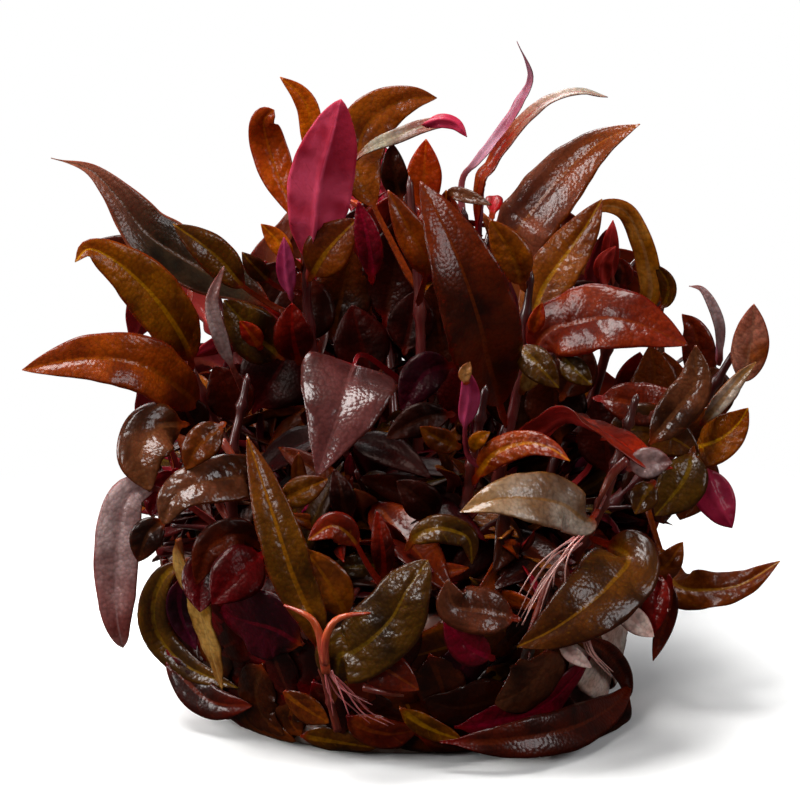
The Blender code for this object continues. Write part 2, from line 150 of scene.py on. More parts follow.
# Stems, root first: points across, towards the back and up
STEMS = {
    "left": [(-18, 1, 19.5), (-21, -1, 29), (-25, -2, 39), (-28, -1, 46)],
    "left_front": [(-19, -11, 19.5), (-21, -14, 27), (-21, -14, 35), (-20, -13, 40)],
    "upper_left": [(-8, 4, 19.5), (-10, 4, 35), (-12, 3, 48), (-12, 2, 58)],
    "centre": [(1, 3, 19.5), (2, 2, 35), (2, 2, 48), (1, 3, 61)],
    "tall": [(8, 9, 19.5), (9, 10, 35), (9, 9, 47), (8, 8, 56)],
    "right_middle": [(9, -8, 19.5), (12, -10, 33), (14, -10, 43), (15, -9, 52)],
    "front": [(5, -17, 19.5), (7, -20, 27), (8, -21, 35), (9, -21, 41)],
    "right_front": [(20, -12, 19.5), (23, -14, 26), (25, -14, 31), (27, -14, 38)],
    "right": [(22, 1, 19.5), (29, 1, 27), (35, 1, 33), (39, 1, 40)],
    "right_back": [(18, 9, 19.5), (23, 11, 32), (26, 10, 43), (26.5, 9, 51)],
    "low_front": [(-8, -30.9, 5.5), (-9, -31.5, 10), (-10, -32, 15), (-10.5, -32, 20)],
    "back_left": [(-14, 14, 19.5), (-18, 17, 29), (-21, 18, 37), (-23, 19, 43)],
    "back": [(-1, 18, 19.5), (-1, 23, 33), (-1, 27, 44), (0, 29, 54)],
    "back_right": [(12, 19, 19.5), (15, 23, 30), (18, 27, 40), (20, 29, 50)],
}

# A leaf leaves its stem at a share of the stem's length, and its midrib then runs through the
# points of its route. On the side that the photograph shows, each point is a pixel across, a
# pixel down, and millimetres back from the plug's axis. On the far side it is millimetres
# across, back and up. The face is turned about the midrib by an angle at the base and one at
# the tip: 0 looks at the viewer on that side, and 180 shows the underside. The fold lifts the
# two halves towards the upper side. The stalk is the share of the length that has no blade,
# and a larger point draws the tip out longer.
# Name, stem, share, width, face, fold, tone, route, stalk, point, where it is widest, ripple
LEAVES = {
    FRONT: [
        ("long_left", "upper_left", 0.66, 7.6, (35, 20), 20, "dusk", [(252, 293, 2), (213, 275, 1), (183, 259, 0),
         (147, 234, -1), (117, 196, -2), (89, 169, -3), (51, 158, -4)], 0.14, 1.7, 0.4),
        ("ochre_left", "left", 0.85, 7, (20, 10), 15, "ochre", [(187, 348, -6), (170, 318, -9), (146, 288, -11),
         (115, 261, -13), (89, 249, -14), (75, 262, -15)]),
        ("copper_left", "left", 0.66, 7.2, (25, 5), 20, "copper", [(197, 404, -5), (176, 386, -9), (146, 367, -12),
         (110, 359, -14), (70, 360, -15), (22, 370, -16)]),
        ("amber_hooked", "upper_left", 0.82, 4.6, (10, 0), 15, "amber", [(301, 232, 4), (296, 212, 5), (280, 180, 6),
         (268, 145, 7), (264, 121, 6), (274, 110, 5)], 0.3, 0.6, 0.62),
        ("magenta", "upper_left", 0.86, 8, (180, 180), 15, "magenta", [(314, 236, -3), (317, 208, -4), (323, 172, -5),
         (332, 138, -6), (341, 99, -6)], 0.12, 0.75, 0.54),
        ("orange_top", "centre", 0.78, 6.6, (20, 5), 15, "chestnut", [(362, 180, 8), (360, 143, 10), (372, 119, 11),
         (392, 105, 12), (415, 98, 12), (437, 98, 12)], 0.35),
        ("edge_tall", "tall", 0.9, 3.6, (125, 106), 15, "mauve", [(463, 188, 12), (477, 163, 13), (499, 133, 14),
         (518, 104, 14), (531, 75, 13), (517, 41, 11)], 0.36, 2, 0.4),
        ("edge_bent", "tall", 0.85, 3.6, (-66, -62), 15, "bent", [(479, 188, 3), (491, 165, 2.5), (507, 141, 2),
         (527, 117, 1.5), (553, 98, 1), (580, 91, 1), (608, 97, 1)], 0.25, 0.7),
        ("glossy_top", "tall", 0.7, 9, (-37, -34), 4, "sheen", [(517, 234, 2.5), (532, 212, 2), (552, 187, 1.5),
         (575, 163, 1), (603, 141, 0), (640, 124, -1)], 0.2, 1, 0.4, 0.02),
        ("centre_large", "right_middle", 0.55, 9.4, (15, 10), 25, "brown", [(489, 365, -17), (480, 325, -20),
         (464, 275, -21), (443, 225, -20), (420, 181, -18)], 0.12),
        ("orange_right", "right_middle", 0.85, 6.2, (-15, -15), 15, "rust", [(540, 296, -6), (555, 270, -5),
         (572, 247, -4), (588, 223, -4), (602, 199, -4)]),
        ("olive_bent", "right_back", 0.8, 3, (-10, -20), 10, "gold", [(648, 300, 6), (647, 262, 4), (639, 236, 3),
         (626, 212, 3), (606, 206, 3), (588, 214, 3)], 0.1, 0.5),
        ("copper_right", "right_middle", 0.78, 8.6, (-20, -15), 15, "chestnut", [(545, 334, -12), (575, 323, -15),
         (608, 318, -17), (645, 326, -18), (688, 345, -19)]),
        ("copper_far_right", "right", 0.85, 4.8, (-20, -15), 10, "fawn", [(730, 400, 0), (741, 381, -1),
         (747, 361, -2), (752, 333, -3), (754, 304, -4)], 0.38),
        ("orange_side", "right", 0.62, 6.5, (-30, -30), 15, "rust", [(702, 446, -4), (722, 438, -7), (738, 424, -8),
         (748, 408, -9)]),
        ("folded_pink", "right_middle", 0.42, 7.4, (200, 330), 20, "crimson", [(558, 420, -17), (590, 425, -20),
         (625, 445, -22), (650, 463, -23), (673, 468, -23)]),
        ("orange_middle", "front", 0.66, 3.6, (-20, -10), 10, "rust", [(489, 459, -24), (506, 448, -25),
         (530, 443, -26), (552, 449, -27), (570, 461, -28)]),
        ("silver_olive", "right_front", 0.6, 7, (28, 25), 12, "pale", [(589, 520, -25), (562, 504, -28),
         (530, 498, -31), (495, 499, -33), (460, 512, -34)], 0.3, 1),
        ("wet_olive", "right_front", 0.3, 9, (10, 0), 12, "olive", [(628, 556, -23), (612, 582, -28), (585, 607, -32),
         (552, 630, -34), (517, 647, -35)], 0.15),
        ("dark_midrib", "low_front", 0.25, 8.2, (0, -14), 6, "olive", [(338, 659, -35), (352, 653, -35.5),
         (372, 639, -36), (392, 618, -36), (406, 592, -36), (428, 560, -35)], 0.12, 0.7, 0.52),
        ("narrow_ochre", "low_front", 0.6, 5.4, (10, 10), 15, "bronze", [(313, 622, -34), (303, 600, -34),
         (290, 568, -34), (276, 524, -33), (261, 478, -31), (247, 436, -29)]),
        ("silver_broad", "centre", 0.45, 12, (5, 0), 12, "pewter", [(366, 356, -9), (352, 370, -17), (340, 410, -23),
         (317, 477, -27)], 0.56, 0.95, 0.16),
        ("pale_rim", "left_front", 0.5, 6.2, (30, 20), 12, "silver", [(247, 479, -19), (222, 479, -22),
         (195, 485, -24), (173, 499, -25), (163, 524, -25)], 0.1, 0.6),
        ("hanging", "left_front", 0.25, 5.6, (-10, -10), 15, "mauve", [(180, 500, -16), (150, 488, -17),
         (128, 496, -18), (118, 530, -19), (116, 580, -20), (117, 618, -21), (123, 648, -21)], 0.36, 0.6),
        ("wavy_right", "right", 0.4, 5, (-15, -15), 12, "rust", [(664, 560, -4), (678, 586, -8), (707, 590, -10),
         (742, 584, -11), (780, 561, -11)], 0.3, 0.9, 0.4, 0.2),
    ],
    REAR: [
        ("rear_1", "back_left", 0.85, 8.5, (-30, -20), 15, "copper", [(-27, 24, 44), (-32, 28, 44), (-36, 31, 37)]),
        ("rear_2", "back_left", 0.75, 7.5, (0, 15), 15, "olive", [(-19, 22, 45), (-15, 26, 52), (-13, 29, 57)]),
        ("rear_3", "back", 0.85, 9, (190, 180), 15, "magenta", [(-2, 33, 54), (-5, 36, 61), (-4, 37, 66)]),
        ("rear_4", "back", 0.65, 9, (35, 25), 15, "copper", [(3, 31, 47), (10, 36, 47.5), (17, 41, 41)]),
        ("rear_5", "back_right", 0.85, 8, (35, 25), 15, "ochre", [(24, 32, 47), (30, 34, 46), (34, 36, 38)]),
        ("rear_6", "back_left", 0.5, 8, (-30, -20), 15, "olive", [(-25, 22, 37), (-31, 26, 33), (-35, 29, 24)]),
        ("rear_7", "back_right", 0.5, 8, (35, 20), 15, "orange", [(20, 30, 34), (26, 35, 29), (30, 38, 20)]),
        ("rear_8", "back", 0.45, 9, (-30, -15), 15, "dark", [(-5, 30, 41), (-10, 35, 37), (-12, 38, 27)]),
    ],
}

# Leaves pressed against the plug's side. The lift is how far the leaf stands off the plug.
# A point of the route is a pixel across and down on the side that the photograph shows, and
# degrees round the plug from the right and millimetres up on the far side.
# Name, width, lift, tone, route
PRESSED = {
    FRONT: [
        ("left", 5.5, 1, "olive", [(162, 560), (153, 590), (151, 622), (166, 654), (184, 672)]),
        ("low_left", 5, 1, "chestnut", [(190, 676), (200, 690), (218, 703), (242, 709)]),
        ("curled", 4.6, 3.4, "straw", [(176, 540), (179, 562), (193, 598), (206, 636), (222, 690)]),
        ("purple", 9.5, 2.1, "plum", [(303, 646), (276, 630), (248, 622), (220, 612)]),
        ("brown", 6.5, 1, "dark", [(262, 664), (256, 692), (264, 718), (284, 735)]),
        ("low_front", 4.5, 1, "dark", [(416, 735), (455, 748), (505, 746), (556, 735)]),
        ("purple_sweep", 5.5, 2.1, "crimson", [(455, 728), (505, 719), (550, 702), (592, 655)]),
        ("grey_broad", 8, 3.4, "silver", [(550, 648), (543, 668), (524, 690), (495, 704)]),
    ],
    REAR: [
        ("rear_1", 7.5, 1, "copper", [(50, 16.5), (55, 11), (50, 6), (42, 2.5)]),
        ("rear_2", 8, 1, "dark", [(72, 14), (80, 9.5), (92, 6), (106, 4)]),
        ("rear_3", 7.5, 1, "olive", [(113, 16), (122, 12.5), (132, 8), (138, 3.5)]),
    ],
}

# Smaller leaves that the photograph shows between the large ones: tone, width, route, face, stalk
SMALLER = [
    ("dark", 3.5, [(184, 322, 1), (190, 288, 7), (172, 262, 10), (140, 249, 9), (90, 242, 8)], (10, 10), 0.45),
    ("mauve", 2, [(248, 400, -10), (232, 366, -13), (221, 340, -14), (212, 302, -14), (224, 266, -13)], (15, 10),
     0.3),
    ("olive", 4.6, [(298, 318, 3), (270, 304, 1), (242, 285, -2), (222, 262, -3), (200, 243, -4), (173, 224, -4)],
     (20, 10), 0.44),
    ("dark", 7.5, [(250, 340, 8), (258, 305, 9), (278, 262, 9)]),
    ("brown", 7.5, [(330, 340, 8), (342, 295, 9), (352, 250, 9)]),
    ("dark", 8, [(384, 330, 8), (394, 275, 9), (404, 215, 9)]),
    ("rust", 6, [(452, 300, 8), (448, 250, 9), (446, 190, 9)], (-10, 0)),
    ("wine", 8, [(446, 390, 6), (440, 335, 7), (434, 282, 8)]),
    ("wine", 8, [(300, 350, 6), (304, 310, 7), (300, 272, 8)]),
    ("wine", 6, [(560, 402, 2), (574, 372, 3), (586, 342, 4)]),
    ("wine", 6, [(452, 424, -4), (460, 390, -4), (466, 356, -3)]),
    ("wine", 9, [(252, 414, 2), (274, 378, 3), (298, 336, 4)]),
    ("wine", 6, [(404, 356, 4), (411, 322, 5), (418, 290, 6)]),
    ("wine", 5, [(200, 440, -4), (188, 414, -5), (176, 392, -5)]),
    ("wine", 7, [(372, 385, 4), (362, 345, 5), (352, 305, 6)]),
    ("wine", 6, [(242, 425, -2), (230, 395, -3), (214, 366, -3)]),
    ("wine", 8, [(560, 446, 4), (556, 405, 5), (552, 365, 5)]),
    ("dark", 8, [(524, 440, 6), (515, 395, 7), (506, 350, 7)]),
    ("wine", 7.5, [(610, 480, 2), (606, 440, 3), (596, 400, 4)]),
    ("olive", 2.6, [(304, 294, 3), (276, 286, 1), (252, 264, -1), (242, 252, -1)], (0, 0), 0.5),
    ("orange", 2.6, [(306, 272, 3), (288, 254, 0), (274, 237, 0), (261, 224, 0)], (0, 0), 0.4),
    ("magenta", 2.4, [(292, 300, -2), (286, 270, -3), (284, 237, -3)], (180, 180)),
    ("rust", 6, [(308, 282, -2), (328, 250, -4), (357, 219, -5)], (-10, -10)),
    ("crimson", 3.4, [(372, 285, -5), (369, 245, -7), (358, 201, -7)], (-20, -10)),
    ("crimson", 5, [(300, 366, -8), (293, 335, -10), (292, 303, -10)]),
    ("olive", 6.5, [(285, 360, -6), (255, 335, -9), (224, 300, -10)], (20, 10)),
    ("orange", 2.6, [(262, 350, -9), (250, 333, -10), (240, 321, -10)]),
    ("amber", 2.9, [(308, 240, 3), (309, 205, 6), (307, 160, 8), (310, 135, 8), (309, 112, 8), (299, 93, 8),
     (280, 77, 8)], (0, 0), 0.5),
    ("sage", 2.1, [(311, 238, 3), (326, 208, 5), (340, 180, 6), (353, 161, 6), (372, 146, 5), (397, 136, 4),
     (420, 127, 4), (445, 123, 3), (466, 134, 2)], (-30, -20), 0.44),
    ("crimson", 1.9, [(424, 126, 2), (440, 121, 1.5), (455, 124, 1.5), (467, 137, 1)], (165, 165), 0.02),
    ("dark", 3.6, [(412, 222, 4), (400, 198, 6), (394, 170, 5), (392, 143, 5)], (-15, -15), 0.3),
    ("orange", 4.6, [(412, 232, 4), (423, 208, 6), (424, 180, 6), (426, 139, 6)], (-15, -15), 0.25),
    ("silver", 1.8, [(467, 238, 8), (452, 212, 5), (450, 194, 2), (470, 197, 0), (492, 205, -1)], (0, 0), 0.55),
    ("copper", 4.6, [(525, 292, -9), (512, 255, -10), (490, 220, -10)]),
    ("copper", 4.2, [(418, 306, 0), (426, 264, -11), (408, 228, -13), (388, 190, -13)], (10, 10), 0.42),
    ("crimson", 2.3, [(612, 285, 6), (610, 255, 6), (613, 220, 6)], (180, 180)),
    ("crimson", 2.6, [(606, 290, 5), (603, 266, 5), (616, 246, 5)], (150, 150)),
    ("brown", 2.6, [(622, 290, 7), (624, 275, 7), (620, 258, 7)]),
    ("olive", 2.4, [(616, 314, 8), (640, 316, 7), (662, 306, 5), (668, 285, 4), (655, 264, 4)], (-30, -30), 0.5),
    ("olive", 4, [(516, 343, -15), (538, 365, -18), (559, 388, -19)]),
    ("olive", 3.2, [(558, 356, -15), (575, 370, -17), (592, 385, -18)]),
    ("mauve", 1.7, [(720, 366, 2), (720, 328, 2), (713, 306, 2), (702, 289, 2), (689, 286, 2)], (30, 30)),
    ("brown", 4.4, [(700, 400, 6), (700, 360, 6), (694, 330, 6), (682, 314, 6)]),
    ("silver", 5.2, [(648, 446, -10), (672, 416, -9), (694, 385, -8), (696, 345, -7)], (0, 0), 0.05),
    ("pale", 2.2, [(700, 426, -6), (722, 400, -7), (742, 376, -7), (756, 362, -7)], (0, 0), 0.05),
    ("brown", 7, [(628, 452, 2), (645, 415, 4), (655, 380, 5), (650, 345, 6)]),
    ("copper", 6, [(676, 440, 5), (672, 400, 6), (664, 352, 7)], (10, 0)),
    ("crimson", 5, [(640, 420, 9), (634, 385, 9), (640, 352, 9)]),
    ("dark", 6, [(720, 425, 4), (712, 395, 5), (704, 362, 6)], (10, 0)),
    ("brown", 6.5, [(690, 470, -2), (700, 440, -3), (716, 405, -3)]),
    ("olive", 6.5, [(600, 440, -6), (632, 428, -7), (668, 436, -7), (700, 455, -8)], (0, -10)),
    ("brown", 5.5, [(592, 398, -5), (615, 400, -6), (650, 405, -6), (690, 398, -7)], (-10, -10)),
    ("crimson", 5, [(703, 462, -5), (712, 490, -6), (722, 510, -7), (732, 528, -7)], (170, 170)),
    ("olive", 6, [(694, 446, -8), (684, 480, -11), (655, 516, -13)]),
    ("dark", 8, [(640, 446, 2), (652, 482, 1), (664, 524, -1)]),
    ("brown", 7, [(690, 440, 4), (692, 480, 4), (680, 520, 3)]),
    ("mauve", 3.8, [(626, 470, -23), (646, 463, -24), (672, 462, -23)]),
    ("olive", 3.5, [(655, 480, -20), (645, 495, -21), (635, 514, -22)]),
    ("magenta", 2.5, [(484, 470, -22), (468, 455, -22), (465, 425, -23), (470, 395, -24), (465, 366, -24)],
     (180, 180), 0.45),
    ("amber", 2, [(472, 452, -23), (478, 440, -24), (490, 432, -24)]),
    ("straw", 1.6, [(467, 385, -25), (465, 374, -25), (470, 362, -25)]),
    ("straw", 2.4, [(520, 395, -14), (534, 372, -16), (546, 350, -16)]),
    ("orange", 2, [(530, 335, -14), (536, 322, -15), (542, 303, -15)]),
    ("brown", 4.2, [(226, 422, -20), (208, 437, -22), (195, 452, -23), (186, 470, -23)]),
    ("silver", 7, [(190, 424, -10), (158, 428, -14), (141, 455, -17), (150, 492, -18)], (10, 0)),
    ("dark", 4, [(168, 518, -21), (148, 535, -22), (138, 562, -22)]),
    ("olive", 3.5, [(405, 551, -30), (416, 537, -31), (435, 529, -32), (453, 531, -32), (469, 540, -32),
     (472, 564, -32)], (-20, -10)),
    ("rust", 3.6, [(388, 594, -30), (368, 565, -31), (352, 538, -32), (332, 526, -33), (308, 540, -34)], (20, 10),
     0.5),
    ("wine", 4, [(178, 468, -8), (160, 490, -9), (150, 516, -10)]),
    ("wine", 6.5, [(266, 552, -24), (240, 572, -28), (212, 604, -31)]),
    ("wine", 5.5, [(225, 548, -20), (205, 575, -23), (200, 612, -26)]),
    ("olive", 4, [(200, 556, -18), (166, 574, -15), (153, 608, -13), (161, 640, -13), (190, 668, -15),
     (238, 688, -20)], (15, 15)),
    ("brown", 4.6, [(160, 645, -13), (184, 678, -15), (212, 702, -18), (252, 706, -22)], (10, 10)),
    ("plum", 3.4, [(182, 572, -19), (180, 610, -18), (196, 650, -19)]),
    ("dark", 6.5, [(196, 560, -13), (184, 608, -11), (200, 668, -14)]),
    ("dark", 5.5, [(350, 590, -27), (337, 616, -30), (322, 650, -32)]),
    ("wine", 4.6, [(262, 548, -20), (238, 536, -24), (210, 548, -26), (196, 585, -26)]),
    ("crimson", 2.8, [(384, 584, -30), (383, 550, -31), (377, 511, -30)]),
    ("copper", 5, [(350, 622, -31), (330, 585, -32), (305, 549, -32)]),
    ("silver", 6, [(522, 620, -33), (490, 612, -35), (455, 606, -36), (447, 580, -36)], (25, 10)),
    ("crimson", 4.4, [(496, 660, -33), (468, 646, -35), (444, 618, -35)]),
    ("crimson", 3.6, [(657, 572, -24), (656, 600, -26), (652, 636, -27)], (0, 0), 0.02),
    ("brown", 2.4, [(669, 574, -21), (669, 608, -22), (653, 661, -23)]),
    ("blanched", 3, [(616, 606, -27), (634, 620, -28), (654, 637, -28)], (0, 0), 0.02),
    ("blanched", 2, [(560, 636, -32), (570, 652, -32), (592, 668, -31)], (0, 0), 0.02),
    ("copper", 3.6, [(632, 556, -18), (662, 568, -19), (683, 542, -19)], (0, 0), 0.05),
    ("brown", 2.6, [(575, 638, -25), (603, 648, -21), (622, 672, -14), (627, 694, -10), (612, 706, -9)], (0, 0),
     0.05),
    ("brown", 5.4, [(440, 742, -31), (502, 741, -31), (566, 730, -26), (610, 708, -17), (632, 684, -10)], (0, -10),
     0.05),
    ("dark", 5, [(630, 690, -9), (614, 720, -14), (578, 735, -22), (540, 740, -27)], (0, 0), 0.05),
    ("bronze", 3.6, [(275, 506, -30), (300, 492, -31), (328, 479, -31)]),
    ("plum", 5, [(456, 364, -17), (425, 374, -20), (401, 411, -21)]),
    ("dark", 4, [(456, 414, -22), (420, 420, -24), (386, 438, -25)]),
    ("copper", 3, [(462, 448, -23), (440, 440, -25), (420, 427, -26)]),
    ("dark", 4.5, [(437, 522, -27), (420, 500, -29), (397, 481, -29)]),
    ("dark", 3.2, [(346, 526, -28), (342, 495, -29), (334, 469, -28)]),
    ("copper", 5, [(345, 650, -33), (380, 666, -35), (419, 690, -36)]),
]

# Leaves pressed on the plug between the large ones: tone, width, lift, route
SMALLER_PRESSED = [
    ("copper", 4, 2.4, [(283, 692), (303, 707), (329, 723)]),
    ("dark", 4.4, 1.4, [(312, 682), (328, 705), (344, 734)]),
    ("copper", 4.6, 1.8, [(346, 716), (364, 728), (389, 734), (418, 730)]),
    ("brown", 4.4, 0.9, [(232, 700), (256, 724), (296, 741)]),
    ("olive", 4, 0.9, [(300, 736), (336, 742), (376, 748)]),
    ("brown", 5, 0.7, [(300, 700), (290, 718), (300, 736)]),
    ("dark", 5.5, 0.7, [(345, 690), (372, 712), (410, 722)]),
    ("ochre", 3, 2.8, [(400, 709), (421, 724), (440, 733), (462, 740)]),
    ("dark", 6.5, 1.6, [(520, 690), (488, 702), (455, 708), (424, 700)]),
    ("brown", 6, 1.2, [(430, 655), (442, 688), (452, 722)]),
    ("plum", 6.5, 0.9, [(474, 640), (462, 668), (440, 694)]),
    ("dark", 5.5, 0.8, [(270, 640), (278, 668), (292, 700)]),
    ("ochre", 2.6, 1.6, [(571, 637), (588, 640), (602, 650), (610, 668)]),
    ("blanched", 7, 1.4, [(572, 636), (594, 662), (608, 696)]),
    ("blanched", 5.5, 0.8, [(604, 622), (620, 648), (619, 690)]),
]

# Bare stalks that the photograph shows: radius, tint and route
STALKS = [
    (0.6, 0, [(326, 672, -35.5), (323, 652, -36), (318, 630, -36), (308, 616, -36), (284, 605, -35)]),
    (0.55, 0, [(325, 664, -36), (325, 642, -36.5), (332, 624, -36.8), (345, 616, -36.8), (370, 613, -35.5)]),
    (0.55, 0.35, [(222, 441, -15), (232, 455, -16), (242, 470, -17)]),
    (0.55, 0.35, [(217, 499, -18), (223, 512, -18), (231, 526, -19)]),
    (0.6, 0.35, [(627, 460, -18), (613, 473, -19), (603, 492, -20), (595, 512, -20)]),
    (0.55, 0.35, [(364, 687, -34), (384, 692, -35), (404, 696, -35)]),
    (0.6, 0.35, [(548, 580, -28), (540, 605, -30), (528, 634, -32)]),
    (0.45, 0.35, [(377, 520, -24), (384, 560, -27), (388, 598, -29)]),
]

# The clump's outline in the photograph, which the small leaves between the others keep inside
OUTLINE = [
    (122, 500), (128, 440), (165, 410), (190, 345), (215, 290), (250, 262), (280, 240), (305, 200), (350, 190),
    (385, 165), (430, 165), (470, 205), (505, 190), (545, 205), (590, 225), (625, 232), (652, 268), (668, 305),
    (700, 335), (722, 362), (733, 400), (722, 440), (718, 480), (700, 515), (690, 560), (680, 600), (655, 640),
    (632, 690), (600, 722), (540, 742), (460, 750), (400, 742), (340, 732), (270, 734), (235, 703), (190, 680),
    (150, 650), (140, 600), (150, 560), (140, 520),
]
WINDOW = (611, 369)
WINDOW_RADIUS = 15
BARE_GEL = (615, 655)
BARE_RADIUS = 44

# Bundles of pale roots that the photograph shows: how many, how far they fan out, tint and middle route
ROOT_BUNDLES = [
    (10, 3.2, 0.6, [(580, 541, -29), (563, 560, -31), (549, 585, -32), (540, 612, -32)]),
    (6, 2.4, 0.85, [(330, 672, -35.5), (344, 688, -35.5), (362, 702, -35), (384, 714, -34)]),
    (4, 1.8, 0.85, [(328, 668, -35.5), (333, 690, -35.5), (340, 710, -35)]),
    (2, 0.6, 0.6, [(655, 573, -24), (666, 588, -25), (669, 606, -26)]),
    (4, 1.4, 0.6, [(583, 628, -31), (592, 650, -31), (606, 668, -29)]),
]

# Soft lights: name, place and size in metres, power, colour
LIGHTS = [
    ("key", (-0.1, -0.06, 0.48), 0.24, 3.2, (1.0, 0.99, 0.97)),
    ("front", (-0.22, -0.42, 0.24), 0.12, 0.7, (1.0, 0.99, 0.98)),
    ("left", (-0.41, -0.05, 0.18), 0.2, 1.5, (1.0, 0.99, 0.98)),
    ("side", (0.34, -0.16, 0.24), 0.16, 0.5, (0.97, 0.98, 1.0)),
    ("back", (-0.1, 0.34, 0.34), 0.26, 1.6, (1.0, 1.0, 1.0)),
]
LIT_POINT = (0, 0, 0.035)

# Leaf tones: slot, gloss, the upper side's dark and light, its tip, midrib and margin, and the
# underside's dark and light
Tone = namedtuple("Tone", "slot gloss deep light tip rib edge under under_light")
TONES = {name: Tone(slot, gloss, *codes.split()) for name, slot, gloss, codes in (
    ("ochre", "leaf_ochre", 0.45, "4E2408 7E4818 6E2E14 AA742E 5C1E0A 7A2A16 9A4A24"),
    ("bronze", "leaf_ochre", 0.6, "36200A 5E3A18 5A2A10 8A5A24 4A1E0C 7A2A16 9A4A24"),
    ("fawn", "leaf_copper", 0.8, "94502E C48672 96564A B07A64 702E1C 862818 A64422"),
    ("chestnut", "leaf_copper", 0.6, "4A1A0A 743418 6E3426 6E3418 561A0A 70141C 902C28"),
    ("gold", "leaf_olive", 0.5, "8A5A28 B88A4C 8A4A28 A47A50 6A3E24 7A4028 9A6440"),
    ("pewter", "leaf_silver", 1.0, "1E0E0A 4A2C28 54302C 5A3A36 34160E 541016 742628"),
    ("amber", "leaf_copper", 0.5, "863616 AE5A30 7A3016 A85C28 702408 862818 A64422"),
    ("orange", "leaf_copper", 0.45, "74240A A04416 8A2A16 AE5A2C 903214 902818 B04624"),
    ("copper", "leaf_copper", 0.75, "481606 823C1A 743A28 84441E 561A0A 70141C 902C28"),
    ("brown", "leaf_dark", 0.7, "200803 4E1C0E 682C1E 642C18 341008 5A1016 7A2420"),
    ("olive", "leaf_olive", 0.8, "1E0E03 4E2C0C 442410 74501E 361406 581A14 743420"),
    ("dark", "leaf_dark", 0.5, "120302 300E08 3C1812 3E1E14 200A06 480A16 621222"),
    ("dusk", "leaf_dark", 0.7, "14100A 302418 9C6450 463020 7A4A38 480A18 621224"),
    ("silver", "leaf_silver", 1.0, "280E06 582E22 603628 623626 40180E 541016 742628"),
    ("pale", "leaf_silver", 1.0, "684E38 A69888 8E6E44 8A6434 6E4A24 6A3A22 8A5A3A"),
    ("rust", "leaf_copper", 0.55, "501A08 743210 6A2410 9A6426 601C0A 7A2014 984022"),
    ("straw", "leaf_olive", 0.7, "6E4420 A87E50 845438 A47A50 6A3E24 7A4028 9A6440"),
    ("bent", "leaf_silver", 0.6, "6A2410 8A4420 B2B2A2 8A3420 5A2A1C 8A3448 A46A7A"),
    ("sheen", "leaf_silver", 1.0, "4A201A 723A30 6E2C16 82442C 5A2416 70141C 902C28"),
    ("sage", "leaf_silver", 0.6, "4E443C 8A8070 8A1E2C 7A6A5A 4A2A20 8A3448 A46A7A"),
    ("mauve", "leaf_silver", 0.6, "6A504E A48E8C 6E2C26 8A6A68 5A2A28 8A4456 A87888"),
    ("blanched", "leaf_silver", 0.5, "C0988E E4CFC6 D8B0A8 D0A8A0 B07A74 C8A096 E0C8C0"),
    ("wine", "leaf_dark", 0.5, "1C0302 480E08 520E0A 561812 2A0504 5A0A12 7A1420"),
    ("magenta", "leaf_pink", 0.35, "520A16 8A2032 96304A 9A3A4A 5C0C1A 8A1C38 AE3A5A"),
    ("crimson", "leaf_pink", 0.6, "340408 6A0E14 74141C 862830 40080A 7E0E1E A02636"),
    ("plum", "leaf_pink", 0.45, "160208 320614 4A0C1C 4E1020 2C0410 4A0818 62102A"),
)}

YOUNG_TONES = ["crimson", "magenta", "copper", "orange", "olive"]
STEM_TONES = ["copper", "wine", "olive", "brown", "rust", "wine", "brown", "crimson", "dark", "ochre"]
MAT_TONES = ["dark", "wine", "olive", "wine", "brown", "crimson", "dark", "copper", "wine"]

SMALL = {tone: [] for tone in TONES}
TWIGS = []
ROOTS = []
SHOWN = []
LOW_CORNER, HIGH_CORNER = (np.array(corner) / MM for corner in cad_box)
LOW_CORNER = LOW_CORNER + 1
HIGH_CORNER = HIGH_CORNER - 1


def unit(vectors):
    """The vectors at length one."""
    return vectors / np.maximum(np.linalg.norm(vectors, axis=-1, keepdims=True), 1e-9)


def seen(pixel_x, pixel_y, back):
    """The point that the photograph shows at a pixel, at a distance back from the plug's axis."""
    across = (pixel_x - PICTURE_CENTRE) * MM_PER_PIXEL
    high = (PICTURE_CENTRE - pixel_y) * MM_PER_PIXEL
    rise = high * math.sin(VIEW_TILT)
    away = (back - rise) / (math.cos(VIEW_TILT) + rise / VIEW_DISTANCE)
    grown = 1 + away / VIEW_DISTANCE
    return VIEW_CENTRE + RIGHT * across * grown + UPWARD * high * grown + AWAY * away


def pictured(points):
    """The pixels that the points are seen at, and how far each lies beyond the view's centre."""
    from_centre = np.asarray(points) - VIEW_CENTRE
    away = from_centre @ AWAY
    scale = 1 / MM_PER_PIXEL / (1 + away / VIEW_DISTANCE)
    across = PICTURE_CENTRE + from_centre @ RIGHT * scale
    down = PICTURE_CENTRE - from_centre @ UPWARD * scale
    return np.stack((across, down), axis=-1), away


def plug_radius(height):
    """Radius of the plug's outside at a height."""
    if height >= PLUG_EDGE_HEIGHT:
        slope = (PLUG_TOP_RADIUS - PLUG_EDGE_RADIUS) / (PLUG_HEIGHT - PLUG_EDGE_HEIGHT)
        return PLUG_EDGE_RADIUS + slope * (height - PLUG_EDGE_HEIGHT)
    share = max(0.0, height) / PLUG_EDGE_HEIGHT
    turn = math.sqrt(1 - (1 - share) ** 2)
    return PLUG_FLOOR_RADIUS + (PLUG_EDGE_RADIUS - PLUG_FLOOR_RADIUS) * turn


